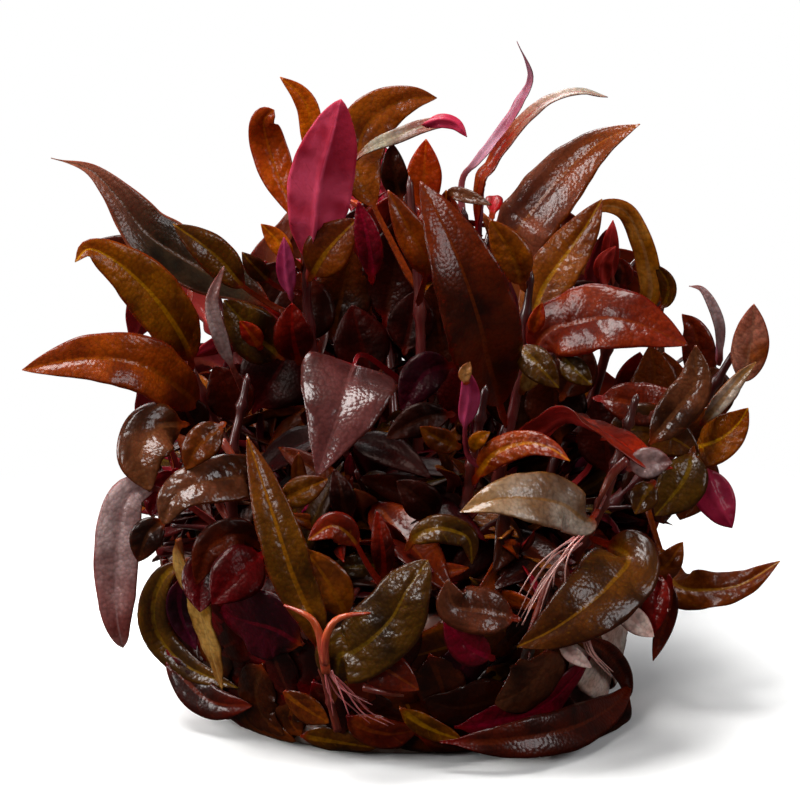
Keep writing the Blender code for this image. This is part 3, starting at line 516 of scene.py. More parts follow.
def seen_on_plug(pixel_x, pixel_y, lift):
    """The point at a pixel that stands off the front of the plug's side by the lift."""
    back = -PLUG_TOP_RADIUS
    for _ in range(24):
        point = seen(pixel_x, pixel_y, back)
        reach = plug_radius(point[2]) + lift
        back = (back - math.sqrt(max(0.0, reach**2 - point[0] ** 2))) / 2
    return seen(pixel_x, pixel_y, back)


def round_plug(angle, height, lift):
    """The point at an angle and height that stands off the plug's side by the lift."""
    turn = math.radians(angle)
    reach = plug_radius(height) + lift
    return np.array((math.cos(turn) * reach, math.sin(turn) * reach, height))


def smooth(points, stations):
    """Evenly spaced points of a smooth curve through the given ones."""
    given = np.array(points, float)
    ends = np.vstack((2 * given[0] - given[1], given, 2 * given[-1] - given[-2]))
    t = np.linspace(0, 1, 25)[1:, None]
    fine = [given[:1]]
    for before, start, end, after in zip(ends, ends[1:], ends[2:], ends[3:]):
        bend = (2 * before - 5 * start + 4 * end - after) * t**2
        turn = (3 * start - before - 3 * end + after) * t**3
        fine.append((2 * start + (end - before) * t + bend + turn) / 2)
    fine = np.vstack(fine)
    reached = np.concatenate(([0], np.cumsum(np.linalg.norm(np.diff(fine, axis=0), axis=1))))
    wanted = np.linspace(0, reached[-1], stations + 1)
    return np.stack([np.interp(wanted, reached, fine[:, axis]) for axis in range(3)], axis=1)


def directions(spine):
    """Unit direction of the curve at each of its points."""
    return unit(np.gradient(spine, axis=0))


def waves(along, seed, pitch):
    """A smooth irregular wave between about -1 and 1, along a length."""
    rng = random.Random(seed)
    total = np.zeros_like(along)
    for octave in (1.0, 1.7, 2.9):
        phase = rng.uniform(0, math.tau)
        total += np.sin(math.tau * along * octave / pitch + phase) / octave
    return total / 1.6


def finished(mesh, name):
    """The mesh that a bmesh makes."""
    data = bpy.data.meshes.new(name)
    mesh.to_mesh(data)
    mesh.free()
    return data


@cache
def blade_template(across, along):
    """A flat closed sheet, two units wide and long, with a material for each of its two faces."""
    mesh = bmesh.new()
    bmesh.ops.create_grid(mesh, x_segments=across, y_segments=along, size=1.0)
    made = bmesh.ops.extrude_face_region(mesh, geom=mesh.faces[:])["geom"]
    raised = [item for item in made if isinstance(item, bmesh.types.BMVert)]
    bmesh.ops.translate(mesh, vec=UP, verts=raised)
    bmesh.ops.recalc_face_normals(mesh, faces=mesh.faces)
    for face in mesh.faces:
        face.material_index = 0 if face.normal.z > -0.5 else 1
        face.smooth = True
    for name in ("blade", "millimetres"):
        mesh.loops.layers.uv.new(name)
    return finished(mesh, "blade_template")


@cache
def tube_template(sides, stations):
    """A closed tube of unit radius, from -1 to 1 along Z."""
    mesh = bmesh.new()
    bmesh.ops.create_cone(mesh, cap_ends=True, segments=sides, radius1=1, radius2=1, depth=2)
    upright = [edge for edge in mesh.edges if abs(edge.verts[0].co.z - edge.verts[1].co.z) > 1]
    bmesh.ops.subdivide_edges(mesh, edges=upright, cuts=stations - 1)
    bmesh.ops.recalc_face_normals(mesh, faces=mesh.faces)
    for face in mesh.faces:
        face.smooth = True
    return finished(mesh, "tube_template")


def corners_of(mesh):
    """The mesh's vertices as an array."""
    flat = np.empty(len(mesh.vertices) * 3)
    mesh.vertices.foreach_get("co", flat)
    return flat.reshape(-1, 3)


def place(mesh, corners):
    """Moves the mesh's vertices to places given in millimetres."""
    mesh.vertices.foreach_set("co", (corners * MM).ravel())
    mesh.update()


def write(mesh, name, values):
    """Writes one number for each vertex."""
    attribute = mesh.attributes.new(name, "FLOAT", "POINT")
    attribute.data.foreach_set("value", np.asarray(values, np.float32))


def write_map(mesh, name, points):
    """Writes a UV map from a place for each vertex."""
    of_corner = np.empty(len(mesh.loops), np.int32)
    mesh.loops.foreach_get("vertex_index", of_corner)
    mesh.uv_layers[name].data.foreach_set("uv", points[of_corner].astype(np.float32).ravel())


def cells(length, across, side, seed):
    """How far each place is from the veins round it: 0 on a vein, 1 in the middle between them."""
    slanted = (length - VEIN_SLANT * across - 0.03 * across**2) / VEIN_SPACING + 0.5 * (side > 0)
    between = np.abs(np.sin(math.pi * slanted)) ** 0.6
    row = np.floor(slanted)
    shift = np.mod(np.sin(row * 12.9898 + seed * 78.233 + (side > 0) * 3.1) * 43758.5453, 1.0)
    crossed = np.abs(np.sin(math.pi * (across / CROSS_VEIN_SPACING + shift))) ** 0.5
    return between, between * (0.45 + 0.55 * crossed)


def blade(spine, facing, width, stalk=0.1, point=0.9, widest=0.44, fold=15, arch=0.16, ripple=0.05,
          quilt=0.2, seed=0, grid=None, press=None, shade=1.0):
    """A leaf on its midrib, with its stalk, its margin's waves and the quilting between its veins."""
    grid = grid or SMALL_GRID
    mesh = blade_template(*grid).copy()
    flat = corners_of(mesh)
    u = flat[:, 0]
    v = (flat[:, 1] + 1) / 2
    upper = flat[:, 2] > 0.5
    station = np.rint(v * grid[1]).astype(int)
    ahead = directions(spine)
    normal = unit(facing - np.sum(facing * ahead, axis=1, keepdims=True) * ahead)
    sideways = np.cross(ahead, normal)
    total = np.sum(np.linalg.norm(np.diff(spine, axis=0), axis=1))
    length = v * total
    share = np.clip((v - stalk) / (1 - stalk), 0, 1)
    base = point * widest / (1 - widest)
    swell = (share / widest) ** base * ((1 - share) / (1 - widest)) ** point
    side = np.sign(u)
    uneven = 1 + 0.025 * np.where(u > 0, waves(length, seed * 2 + 1, 9.0), waves(length, seed * 2 + 2, 8.0))
    petiole = (PETIOLE_HALF_WIDTH + (TIP_HALF_WIDTH - PETIOLE_HALF_WIDTH) * v) * np.clip(v / 0.05, 0.25, 1)
    half = np.maximum(width / 2 * swell * uneven, petiole)
    across = np.abs(u) * half
    opened = np.clip((half - petiole) / (width / 4), 0, 1)
    rise = (np.sqrt(across**2 + 0.09) - 0.3) * math.tan(math.radians(fold))
    rise -= arch * half * u**2 * opened
    ruffle = np.where(u > 0, waves(length, seed * 3 + 5, 8.5), waves(length, seed * 3 + 6, 7.5))
    rise += ripple * half * np.abs(u) ** 2.5 * ruffle * 1.6 * opened
    between, quilted = cells(length, across, side, seed)
    margin = 1 - np.abs(u) ** 6
    rise += quilt * quilted * margin * np.clip(half / 1.6, 0, 1) * opened
    rise -= 0.14 * np.exp(-((across / 0.45) ** 2)) * opened
    rib = PETIOLE_DEPTH * (1 - v) ** 0.8 * np.sqrt(np.clip(1 - (across / (petiole + 1e-6)) ** 2, 0, 1))
    sheet = MARGIN_THICKNESS + (BLADE_THICKNESS - MARGIN_THICKNESS) * margin
    depth = np.where(upper, 0.0, sheet * np.clip(half / 0.5, 0.3, 1) + rib)
    corners = spine[station] + sideways[station] * (u * half)[:, None]
    corners += normal[station] * (rise - depth)[:, None]
    if press is not None:
        corners = press(corners, rise - depth)
    room = BENT_BELOW - REST_HEIGHT
    bent = REST_HEIGHT + room * np.exp(np.minimum(corners[:, 2] - BENT_BELOW, 0) / room)
    corners[:, 2] = np.where(corners[:, 2] < BENT_BELOW, bent, corners[:, 2])
    place(mesh, corners)
    write(mesh, "vein", 1 - between)
    write(mesh, "stalk", (1 - np.clip((v - stalk) / 0.12, 0, 1)) * (1 - 0.85 * opened))
    write(mesh, "tint", np.full(len(u), random.Random(seed + 0.5).random()))
    # Painted shade: the share of its colour and gloss that the leaf keeps
    write(mesh, "shade", np.full(len(u), shade))
    write_map(mesh, "blade", np.stack((u / 2 + 0.5, v), axis=1))
    write_map(mesh, "millimetres", np.stack((u * half, length), axis=1))
    return mesh


def tube(route, radius, grid, seed=0, tint=None):
    """A round stem or root on its route, with a radius for each end or for each station."""
    mesh = tube_template(*grid).copy()
    flat = corners_of(mesh)
    spine = smooth(route, grid[1])
    ahead = directions(spine)
    station = np.rint((flat[:, 2] + 1) / 2 * grid[1]).astype(int)
    guide = np.eye(3)[np.argmin(np.abs(ahead).max(axis=0))]
    first = unit(np.cross(ahead, guide))
    second = np.cross(ahead, first)
    radii = np.linspace(*radius, grid[1] + 1) if len(radius) == 2 else radius
    outward = first[station] * flat[:, :1] + second[station] * flat[:, 1:2]
    place(mesh, spine[station] + outward * radii[station][:, None])
    write(mesh, "along", (flat[:, 2] + 1) / 2)
    write(mesh, "tint", np.full(len(flat), random.Random(seed + 0.5).random() if tint is None else tint))
    return mesh


def rolled(ahead, face, side):
    """The way a leaf's upper side looks: to the viewer on that side, turned about the midrib."""
    viewer = np.array((0, -side * AWAY[1], -AWAY[2]))
    facing = unit(viewer - np.sum(viewer * ahead, axis=1, keepdims=True) * ahead)
    roll = np.radians(np.linspace(face[0], face[1], len(ahead)))[:, None]
    return facing * np.cos(roll) + np.cross(ahead, facing) * np.sin(roll)


def linear(code):
    """A linear colour from a six-digit sRGB code."""
    shares = [int(code[place:place + 2], 16) / 255 for place in (0, 2, 4)]
    return tuple(c / 12.92 if c <= 0.04045 else ((c + 0.055) / 1.055) ** 2.4 for c in shares) + (1.0,)


# Settings that many nodes share
SMOOTHLY = {"interpolation_type": "SMOOTHSTEP"}
TIMES = {"operation": "MULTIPLY"}
POSITIVE = {"operation": "ABSOLUTE"}


def give(node, inputs):
    """Gives the node's inputs, by name or number, their values or links."""
    for name, value in inputs.items():
        if isinstance(value, bpy.types.NodeSocket):
            node.id_data.links.new(value, node.inputs[name])
        else:
            node.inputs[name].default_value = value


def add(tree, kind, inputs=(), out=0, **settings):
    """Adds a node with its settings, values and links, and returns one of its outputs."""
    node = tree.nodes.new("ShaderNode" + kind)
    for name, value in settings.items():
        setattr(node, name, value)
    give(node, inputs if isinstance(inputs, dict) else dict(enumerate(inputs)))
    return node.outputs[out]


def new_material(name):
    """A material, its tree and its shader."""
    material = bpy.data.materials.new(name)
    material.use_nodes = True
    return material, material.node_tree, material.node_tree.nodes["Principled BSDF"]


def layered(tree, code, layers):
    """A colour with others laid over it, each from its least to its most as a value goes from low to high."""
    colour = linear(code)
    for value, low, high, least, most, over in layers:
        share = add(tree, "MapRange", [value, low, high, least, most], **SMOOTHLY)
        colour = add(tree, "Mix", {0: share, 6: colour, 7: linear(over)}, 2, data_type="RGBA")
    return colour


def leaf_material(name, tone, upper):
    """Living leaf, grown in a wet cup: a waxy skin under a film of water, quilted between its veins.

    The skin's own gloss is broad, and the water's is sharp and breaks up on the quilting.
    """
    material, tree, shader = new_material(name)
    real = add(tree, "UVMap", uv_map="millimetres")
    share = add(tree, "SeparateXYZ", [add(tree, "UVMap", uv_map="blade")])
    along = share.node.outputs[1]
    from_rib = add(tree, "Math", [add(tree, "SeparateXYZ", [real])], **POSITIVE)
    to_margin = add(tree, "Math", [add(tree, "Math", [share, 0.5], operation="SUBTRACT")], **POSITIVE)
    vein, tint, stalk, painted_shade = (add(tree, "Attribute", out="Fac", attribute_name=written)
                               for written in ("vein", "tint", "stalk", "shade"))
    spot = add(tree, "VectorMath", [real, add(tree, "Math", [tint, 60.0], **TIMES)], operation="ADD")
    blotch = add(tree, "TexNoise", {"Vector": spot, "Scale": 1 / BLOTCH, "Detail": 2.0}, noise_dimensions="2D")
    crinkle = add(tree, "TexVoronoi", {"Vector": spot, "Scale": 1 / CRINKLE}, voronoi_dimensions="2D")
    rib_width = add(tree, "MapRange", [along, 0.0, 1.0, 0.5, 0.14], **SMOOTHLY)
    rib = add(tree, "Math", [from_rib, rib_width], operation="DIVIDE")
    if upper:
        colour = layered(tree, tone.deep, [
            (blotch, 0.3, 0.7, 0.0, 1.0, tone.light),
            (along, 0.55, 1.0, 0.0, 0.7, tone.tip),
            (vein, 0.5, 1.0, 0.0, 0.4, tone.rib),
            (to_margin, 0.43, 0.5, 0.0, 0.8, tone.edge),
            (rib, 0.5, 1.0, 0.6375, 0.0, tone.rib),
        ])
    else:
        colour = layered(tree, tone.under, [
            (blotch, 0.38, 0.64, 0.0, 1.0, tone.under_light),
            (vein, 0.55, 1.0, 0.0, 0.5, tone.deep),
            (rib, 0.5, 1.0, 0.6375, 0.0, tone.under_light),
        ])
    stalk_share = add(tree, "Math", [stalk, 0.85], **TIMES)
    colour = add(tree, "Mix", {0: stalk_share, 6: colour, 7: linear("6C1E16")}, 2, data_type="RGBA")
    any_share = add(tree, "Math", [add(tree, "Math", [tint, 7.0], **TIMES)], operation="FRACT")
    bright = add(tree, "MapRange", [any_share, 0.0, 1.0, 0.82, 1.18], **SMOOTHLY)
    # The painted shade dims the leaf's colour
    colour = add(tree, "HueSaturation", {
        "Hue": add(tree, "MapRange", [tint, 0.0, 1.0, 0.49, 0.512], **SMOOTHLY),
        "Saturation": 1.1 if upper else 1.0,
        "Value": add(tree, "Math", [bright, painted_shade], **TIMES),
        "Color": colour,
    })
    # Painted shade in the fine quilting's grooves: the upper side's colour darkens where the crinkle's relief sinks
    if upper:
        groove_painted_shade = add(tree, "MapRange", [crinkle, 0.3, 0.8, 0.0, 0.3], **SMOOTHLY)
        colour = add(tree, "Mix", {0: groove_painted_shade, 6: colour, 7: linear("3A1610")}, 2,
                     data_type="RGBA", blend_type="MULTIPLY")
    patchy = add(tree, "MapRange", [blotch, 0.3, 0.65, 0.55, 1.0], **SMOOTHLY)
    relief = add(tree, "Math", [crinkle, patchy], **TIMES)
    bump = add(tree, "Bump", {"Strength": 0.42 if upper else 0.2, "Distance": 0.1 * MM, "Height": relief}, invert=True)
    # The painted shade dims the water film's gloss too, as the square of the shade
    film_under_painted_shade = add(tree, "Math", [painted_shade, 2.0], operation="POWER")
    give(shader, {
        "Base Color": colour,
        "Roughness": 0.42 if upper else 0.55,
        "Normal": bump,
        "IOR": 1.42,
        "Specular IOR Level": 0.15,
        "Specular Tint": linear("E8B4A4"),
        "Subsurface Weight": 0.15,
        "Subsurface Radius": (1.0, 0.25, 0.12),
        "Subsurface Scale": 0.8 * MM,
        "Coat Weight": add(tree, "Math", [film_under_painted_shade, tone.gloss if upper else tone.gloss / 2], **TIMES),
        "Coat Roughness": 0.27 - 0.08 * tone.gloss,
        "Coat IOR": 1.4,
        "Coat Normal": bump,
    })
    return material


@cache
def leaf_pair(tone):
    """The upper and lower materials of a tone."""
    return [leaf_material(f"wet_leaf_{tone}_{side}", TONES[tone], side == "upper") for side in ("upper", "under")]


@cache
def stem_material():
    """Succulent stem skin: coral with crimson blotches, darker towards the tip, smooth and wet, with fine streaks."""
    material, tree, shader = new_material("wet_stem_skin")
    place_at = add(tree, "TexCoord", out="Object")
    squeezed = add(tree, "Mapping", {"Vector": place_at, "Scale": (1.0, 1.0, 0.15)})
    streak = add(tree, "TexNoise", {"Vector": squeezed, "Scale": 1 / (0.3 * MM), "Detail": 3.0})
    blotch = add(tree, "TexNoise", {"Vector": place_at, "Scale": 1 / (5 * MM), "Detail": 2.0})
    tint, along = (add(tree, "Attribute", out="Fac", attribute_name=written) for written in ("tint", "along"))
    colour = layered(tree, "A8441E", [
        (blotch, 0.35, 0.65, 0.0, 1.0, "8A2420"),
        (streak, 0.4, 0.7, 0.0, 0.35, "C86A3E"),
        (tint, 0.0, 0.6, 0.0, 0.9, "420C10"),
    ])
    young = add(tree, "Math", [add(tree, "MapRange", [along, 0.5, 0.9, 0.0, 1.0], **SMOOTHLY), tint], **TIMES)
    give(shader, {
        "Base Color": add(tree, "Mix", {0: young, 6: colour, 7: linear("1C0406")}, 2, data_type="RGBA"),
        "Roughness": add(tree, "MapRange", [streak, 0.3, 0.7, 0.28, 0.42], **SMOOTHLY),
        "Normal": add(tree, "Bump", {"Strength": 0.3, "Distance": 0.08 * MM, "Height": streak}),
        "Subsurface Weight": 0.3,
        "Subsurface Radius": (1.0, 0.3, 0.2),
        "Subsurface Scale": 1.0 * MM,
        "Coat Weight": 0.45,
        "Coat Roughness": 0.1,
    })
    return material


def root_material():
    """Young root skin: thin, pale, a little pink, and wet."""
    material, tree, shader = new_material("wet_root_skin")
    tint, along = (add(tree, "Attribute", out="Fac", attribute_name=written) for written in ("tint", "along"))
    give(shader, {
        "Base Color": layered(tree, "D8B4A8", [
            (tint, 0.3, 0.9, 0.0, 1.0, "A8585A"),
            (along, 0.0, 0.4, 0.6, 0.0, "A84A48"),
        ]),
        "Roughness": 0.35,
        "Subsurface Weight": 0.4,
        "Subsurface Radius": (1.0, 0.6, 0.5),
        "Subsurface Scale": 0.5 * MM,
        "Coat Weight": 0.6,
        "Coat Roughness": 0.1,
    })
    return material


def gel_material():
    """Set nutrient gel, cast in its cup: cloudy, pale, a little pink from the plant, with a wet soft gloss."""
    material, tree, shader = new_material("cast_culture_gel")
    place_at = add(tree, "TexCoord", out="Object")
    cloud = add(tree, "TexNoise", {"Vector": place_at, "Scale": 1 / (9 * MM), "Detail": 4.0})
    dent = add(tree, "TexNoise", {"Vector": place_at, "Scale": 1 / (2.5 * MM), "Detail": 5.0})
    give(shader, {
        "Base Color": layered(tree, "D8BCB0", [(cloud, 0.35, 0.65, 0.0, 1.0, "A8746A")]),
        "Roughness": add(tree, "MapRange", [dent, 0.3, 0.7, 0.18, 0.34], **SMOOTHLY),
        "Normal": add(tree, "Bump", {"Strength": 0.5, "Distance": 0.5 * MM, "Height": dent}),
        "IOR": 1.34,
        "Subsurface Weight": 0.9,
        "Subsurface Radius": (1.0, 0.6, 0.5),
        "Subsurface Scale": 5 * MM,
        "Coat Weight": 0.5,
        "Coat Roughness": 0.08,
    })
    return material


def paper_material():
    """Matt white paper that turns to plain white away from the clump and gives little light back to it."""
    material, tree, paper = new_material("matt_white_paper")
    give(paper, {"Base Color": linear("FFFFFF"), "Roughness": 1.0})
    far = add(tree, "VectorMath", [add(tree, "TexCoord", out="Object")], "Value", operation="LENGTH")
    fade = add(tree, "MapRange", [far, 0.03, 0.11, 0.0, 1.0], **SMOOTHLY)
    glow = add(tree, "Emission", {"Color": linear("FFFFFF"), "Strength": 1.0})
    faded = add(tree, "MixShader", [fade, paper.outputs[0], glow])
    dim = add(tree, "BsdfDiffuse", {"Color": linear("38302C")})
    shown = add(tree, "MixShader", [add(tree, "LightPath", out="Is Camera Ray"), dim, faded])
    give(tree.nodes["Material Output"], {"Surface": shown})
    return material


def piece(name, meshes, materials, slot, *nodes):
    """One object of one or more meshes, riding on the part and standing for the nodes named."""
    objects = []
    for index, mesh in enumerate(meshes):
        for material in materials:
            mesh.materials.append(material)
        item = bpy.data.objects.new(name if index == 0 else f"{name}_{index}", mesh)
        bpy.context.scene.collection.objects.link(item)
        objects.append(item)
    whole = objects[0]
    if len(objects) > 1:
        with bpy.context.temp_override(active_object=whole, object=whole, selected_objects=objects,
                                       selected_editable_objects=objects):
            bpy.ops.object.join()
    whole.data.name = name
    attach(whole, "root")
    if nodes:
        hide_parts(*nodes)
    return whole


def leaf_piece(name, meshes, tone, node):
    """One object of leaves of a tone."""
    piece(name, meshes, leaf_pair(tone), TONES[tone].slot, node)


def growing(start, axis, out, angle, length, bend, stations, sway, twist):
    """Midrib and upper side of a leaf that grows from a stem at an angle and bends back as it goes."""
    along = axis * math.cos(angle) + out * math.sin(angle)
    face = axis * math.sin(angle) - out * math.cos(angle)
    across = np.cross(along, face)
    t = np.linspace(0, 1, stations + 1)[:, None]
    turn = bend * t**1.3
    heading = unit(along * np.cos(turn) - face * np.sin(turn) + across * sway * t)
    facing = (face * np.cos(turn) + along * np.sin(turn)) * np.cos(twist * t) + across * np.sin(twist * t)
    steps = heading * length / stations
    return start + np.vstack((np.zeros(3), np.cumsum(steps[:-1], axis=0))), facing


def inside_outline(pixels):
    """Whether each pixel lies inside the clump's outline."""
    x, y = pixels[:, 0], pixels[:, 1]
    within = np.zeros(len(pixels), bool)
    for (x0, y0), (x1, y1) in zip(OUTLINE, OUTLINE[1:] + OUTLINE[:1]):
        if y0 == y1:
            continue
        crosses = ((y0 > y) != (y1 > y)) & (x < (x1 - x0) * (y - y0) / (y1 - y0) + x0)
        within ^= crosses
    return within


def keep_clear(spine, width):
    """Notes a leaf that has to stay in view."""
    SHOWN.append((*pictured(spine[2:]), width))


def fits(spine, width, room=0.8):
    """Whether a small leaf stays in the clump, off its floor, and out of the way of those that show."""
    if spine[:, 2].min() < LOWEST + width / 4:
        return False
    if (spine.min(0) < LOW_CORNER).any() or (spine.max(0) > HIGH_CORNER).any():
        return False
    pixels, away = pictured(spine)
    if not inside_outline(pixels).all():
        return False
    if (np.hypot(*(pixels - WINDOW).T) < WINDOW_RADIUS + width / 3 / MM_PER_PIXEL).any():
        return False
    for shown, depth, their_width in SHOWN:
        apart = np.hypot(pixels[:, None, 0] - shown[None, :, 0], pixels[:, None, 1] - shown[None, :, 1])
        near = apart < (width * 0.35 + their_width * 0.42) / MM_PER_PIXEL
        if (near & (away[:, None] < depth[None, :] + room)).any():
            return False
    return True


def painted_shade_at(point):
    """How much of its colour and gloss a small leaf keeps: painted shade, darker deep in the clump and in the hollows
    on the front.
    """
    out = np.linalg.norm((point - CLUMP_MIDDLE) / CLUMP_RADII)
    shade = SHADE_AT_MIDDLE + (1 - SHADE_AT_MIDDLE) * float(np.clip((out - SHADE_FROM) / SHADE_OVER, 0, 1))
    pixel, away = pictured(point)
    for middle, radius in PAINTED_SHADE_HOLLOWS:
        near = 1 - min(1.0, np.hypot(*(pixel - middle)) / radius)
        if away < 0:
            shade *= 1 - (1 - SHADE_IN_HOLLOW) * near**0.5
    return shade


def by_side(table):
    """The table's entries, each with its side first."""
    return [(side, *entry) for side, entries in table.items() for entry in entries]


def large_leaf(seed, side, name, stem, share, width, face, fold, tone, route, stalk=0.1, point=0.9,
               widest=0.44, ripple=0.04):
    """A leaf that has a solid of its own."""
    axis = smooth(STEMS[stem], STEM_STEPS)
    place_on = share * STEM_STEPS
    index = min(int(place_on), STEM_STEPS - 1)
    foot = axis[index] + (axis[index + 1] - axis[index]) * (place_on - index)
    along = unit(axis[index + 1] - axis[index])
    points = [seen(*corner) if side == FRONT else np.array(corner, float) for corner in route]
    outward = unit((points[0] - foot) - (points[0] - foot) @ along * along)
    spine = smooth([foot + outward * STEM_RADIUS * 0.6, *points], BLADE_GRID[1])
    mesh = blade(spine, rolled(directions(spine), face, side), width, stalk, point, widest, fold=fold,
                 seed=seed, ripple=ripple, grid=BLADE_GRID)
    leaf_piece(f"blade_{name}", [mesh], tone, f"leaf_{name}")
    if side == FRONT:
        keep_clear(spine, width)


def plug_press(lift):
    """Moves a leaf's places onto the plug's side, keeping its own relief."""
    def press(corners, relief):
        height = np.maximum(corners[:, 2], LOWEST)
        outward = unit(corners[:, :2])
        reach = np.array([plug_radius(z) for z in height]) + lift + relief
        return np.column_stack((outward * reach[:, None], height))
    return press


def pressed_blade(points, width, lift, seed, grid):
    """A leaf that lies against the plug's side."""
    spine = smooth(points, grid[1])
    outward = np.column_stack((spine[:, :2], np.zeros(len(spine))))
    return spine, blade(spine, unit(outward), width, 0.04, 0.8, fold=0, arch=0.05, ripple=0.1, quilt=0.16,
                        seed=seed, grid=grid, press=plug_press(lift))


def pressed_leaf(seed, side, name, width, lift, tone, route):
    """A leaf that the cup's wall pressed on the plug and that has a solid of its own."""
    at = seen_on_plug if side == FRONT else round_plug
    spine, mesh = pressed_blade([at(*point, lift) for point in route], width, lift, seed, BLADE_GRID)
    leaf_piece(f"pressed_{name}_blade", [mesh], tone, f"pressed_{name}")
    if side == FRONT:
        keep_clear(spine, width)


def smaller_leaf(seed, tone, width, route, face=(0, 0), stalk=0.1):
    """A smaller leaf that the photograph shows."""
    spine = smooth([seen(*point) for point in route], MIDDLE_GRID[1])
    shade = max(DEEP_SHADE.get(tone, LEAST_SHADE), painted_shade_at(spine[-1]))
    SMALL[tone].append(blade(spine, rolled(directions(spine), face, FRONT), width, stalk, seed=seed,
                             grid=MIDDLE_GRID, shade=shade))
    keep_clear(spine, width)


def smaller_pressed_leaf(seed, tone, width, lift, route):
    """A smaller leaf that the photograph shows on the plug."""
    points = [seen_on_plug(*point, lift) for point in route]
    spine, mesh = pressed_blade(points, width, lift, seed, MIDDLE_GRID)
    SMALL[tone].append(mesh)
    keep_clear(spine, width)


def sprout(axis_points, rng, pairs, first, length, tones, spread=1.0):
    """Opposite pairs of leaves up a stem, each pair turned across the last, and a bud of young ones.

    Returns how many leaves there was room for.
    """
    grown = 0
    ahead = directions(axis_points)
    last = len(axis_points) - 1
    turn = rng.uniform(0, math.pi)
    for pair in range(pairs + 2):
        young = pair >= pairs
        share = min(1.0, first + (1 - first) * pair / pairs)
        index = int(round(share * last))
        axis = ahead[index]
        guide = unit(np.cross(axis, RIGHT if abs(axis[0]) < 0.8 else UP))
        other = np.cross(axis, guide)
        grid = BUD_GRID if young else SMALL_GRID
        for half in (0, math.pi):
            for _ in range(TRIES):
                around = turn + pair * math.pi / 2 + half + rng.uniform(-0.6, 0.6)
                out = guide * math.cos(around) + other * math.sin(around)
                angle = rng.uniform(*YOUNG_ANGLE) if young else rng.uniform(*GROWN_ANGLE) * spread
                reach = length * rng.uniform(*(YOUNG_LENGTH if young else GROWN_LENGTH))
                width = reach * rng.uniform(*SLIMNESS)
                start = axis_points[index] + out * STEM_RADIUS * 0.4
                spine, facing = growing(start, axis, out, angle, reach, rng.uniform(*BEND), grid[1],
                                        rng.uniform(*SWAY), rng.uniform(*TWIST))
                if fits(spine, width):
                    tone = rng.choice(YOUNG_TONES if young else tones)
                    SMALL[tone].append(blade(spine, facing, width, 0.14, rng.uniform(0.75, 1.15),
                                             fold=rng.uniform(8, 26), seed=rng.randrange(10**6), grid=grid,
                                             shade=painted_shade_at(spine[-1])))
                    grown += 1
                    break
    return grown


def stems():
    """The stems that have a solid of their own, with their joints, leaves and buds."""
    rng = random.Random(7)
    share = np.linspace(0, 1, STEM_GRID[1] + 1)
    for name, route in STEMS.items():
        points = np.array(route, float)
        points = [*points, points[-1] + unit(points[-1] - points[-2]) * 5]
        radius = STEM_RADIUS * (1.0 - 0.45 * share)
        for joint in np.linspace(0.2, 0.85, 4):
            radius = radius + NODE_SWELL * np.exp(-(((share - joint) / 0.02) ** 2))
        radius[-1] = 0.1
        if name == "low_front":
            radius = radius * 0.6
        mesh = tube(points, radius, STEM_GRID, tint=rng.uniform(0.45, 0.7))
        piece(f"shoot_{name}", [mesh], [stem_material()], "stem", f"stem_{name}")
        if name != "low_front":
            sprout(smooth(points, STEM_GRID[1]), rng, 5, 0.15, 15, STEM_TONES)


def spread_round(count, radius, phase=0.0):
    """Places spread evenly over the plug's top: each one's number, distance out and way out."""
    for index in range(count):
        turn = index * GOLDEN_RADIANS + phase
        yield index, radius * math.sqrt((index + 0.5) / count), np.array((math.cos(turn), math.sin(turn), 0))


def between_shoots():
    """Taller shoots without a solid of their own, which fill the clump between the others."""
    rng = random.Random(21)
    for _, reach, outward in spread_round(TALLER_SHOOTS, TALLER_REACH, 0.8):
        root = outward * reach + UP * (PLUG_HEIGHT - SHOOT_DEPTH)
        for height in (40, 34, 29, 24, 20, 16):
            lean = 0.1 + 0.75 * reach / TALLER_REACH + rng.uniform(-0.15, 0.15)
            top = root + (UP * math.cos(lean) + outward * math.sin(lean)) * height
            route = [root, root + UP * height * 0.4 + outward * height * 0.12 * lean, top]
            spine = smooth(route, 14)
            if fits(spine[3:], 5):
                if sprout(spine, rng, max(3, height // 6), 0.2, rng.uniform(14, 19), STEM_TONES) > 2:
                    TWIGS.append(tube(route, (0.8, 0.25), TWIG_GRID, tint=0.6))
                break


def mat():
    """Short shoots that crowd the plug's top and hang over its rim."""
    rng = random.Random(11)
    for _, reach, outward in spread_round(SHORT_SHOOTS, SHORT_REACH):
        root = outward * reach + UP * (PLUG_HEIGHT - SHOOT_DEPTH)
        lean = math.radians(8 + 66 * (reach / SHORT_REACH) ** 1.6 + rng.uniform(-12, 12))
        heading = unit(UP * math.cos(lean) + outward * math.sin(lean))
        length = rng.uniform(5, 13)
        route = [root, root + unit(UP + heading) * length * 0.5, root + heading * length]
        if sprout(smooth(route, 12), rng, 3, 0.2, rng.uniform(12, 17), MAT_TONES, 1.2) > 2:
            TWIGS.append(tube(route, (0.7, 0.25), TWIG_GRID, tint=0.6))


def carpet():
    """Leaves that lie on the plug's top, under the shoots."""
    rng = random.Random(13)
    for index, reach, outward in spread_round(CARPET_LEAVES, CARPET_REACH, 1.3):
        middle = outward * reach + UP * (PLUG_HEIGHT + rng.uniform(0.6, 1.8))
        way = rng.uniform(0, math.tau)
        along = np.array((math.cos(way), math.sin(way), rng.uniform(0.0, 0.25))) * rng.uniform(4.5, 6.5)
        if np.hypot(*(middle + along)[:2]) > PLUG_TOP_RADIUS + 1:
            along = along * (-1, -1, 1)
        spine = smooth([middle - along, middle + UP * 0.8, middle + along], BUD_GRID[1])
        SMALL[rng.choice(MAT_TONES)].append(blade(
            spine, np.broadcast_to(UP, spine.shape), rng.uniform(4.5, 6.5), seed=700 + index, grid=BUD_GRID,
            shade=max(CARPET_SHADE, painted_shade_at(middle))))


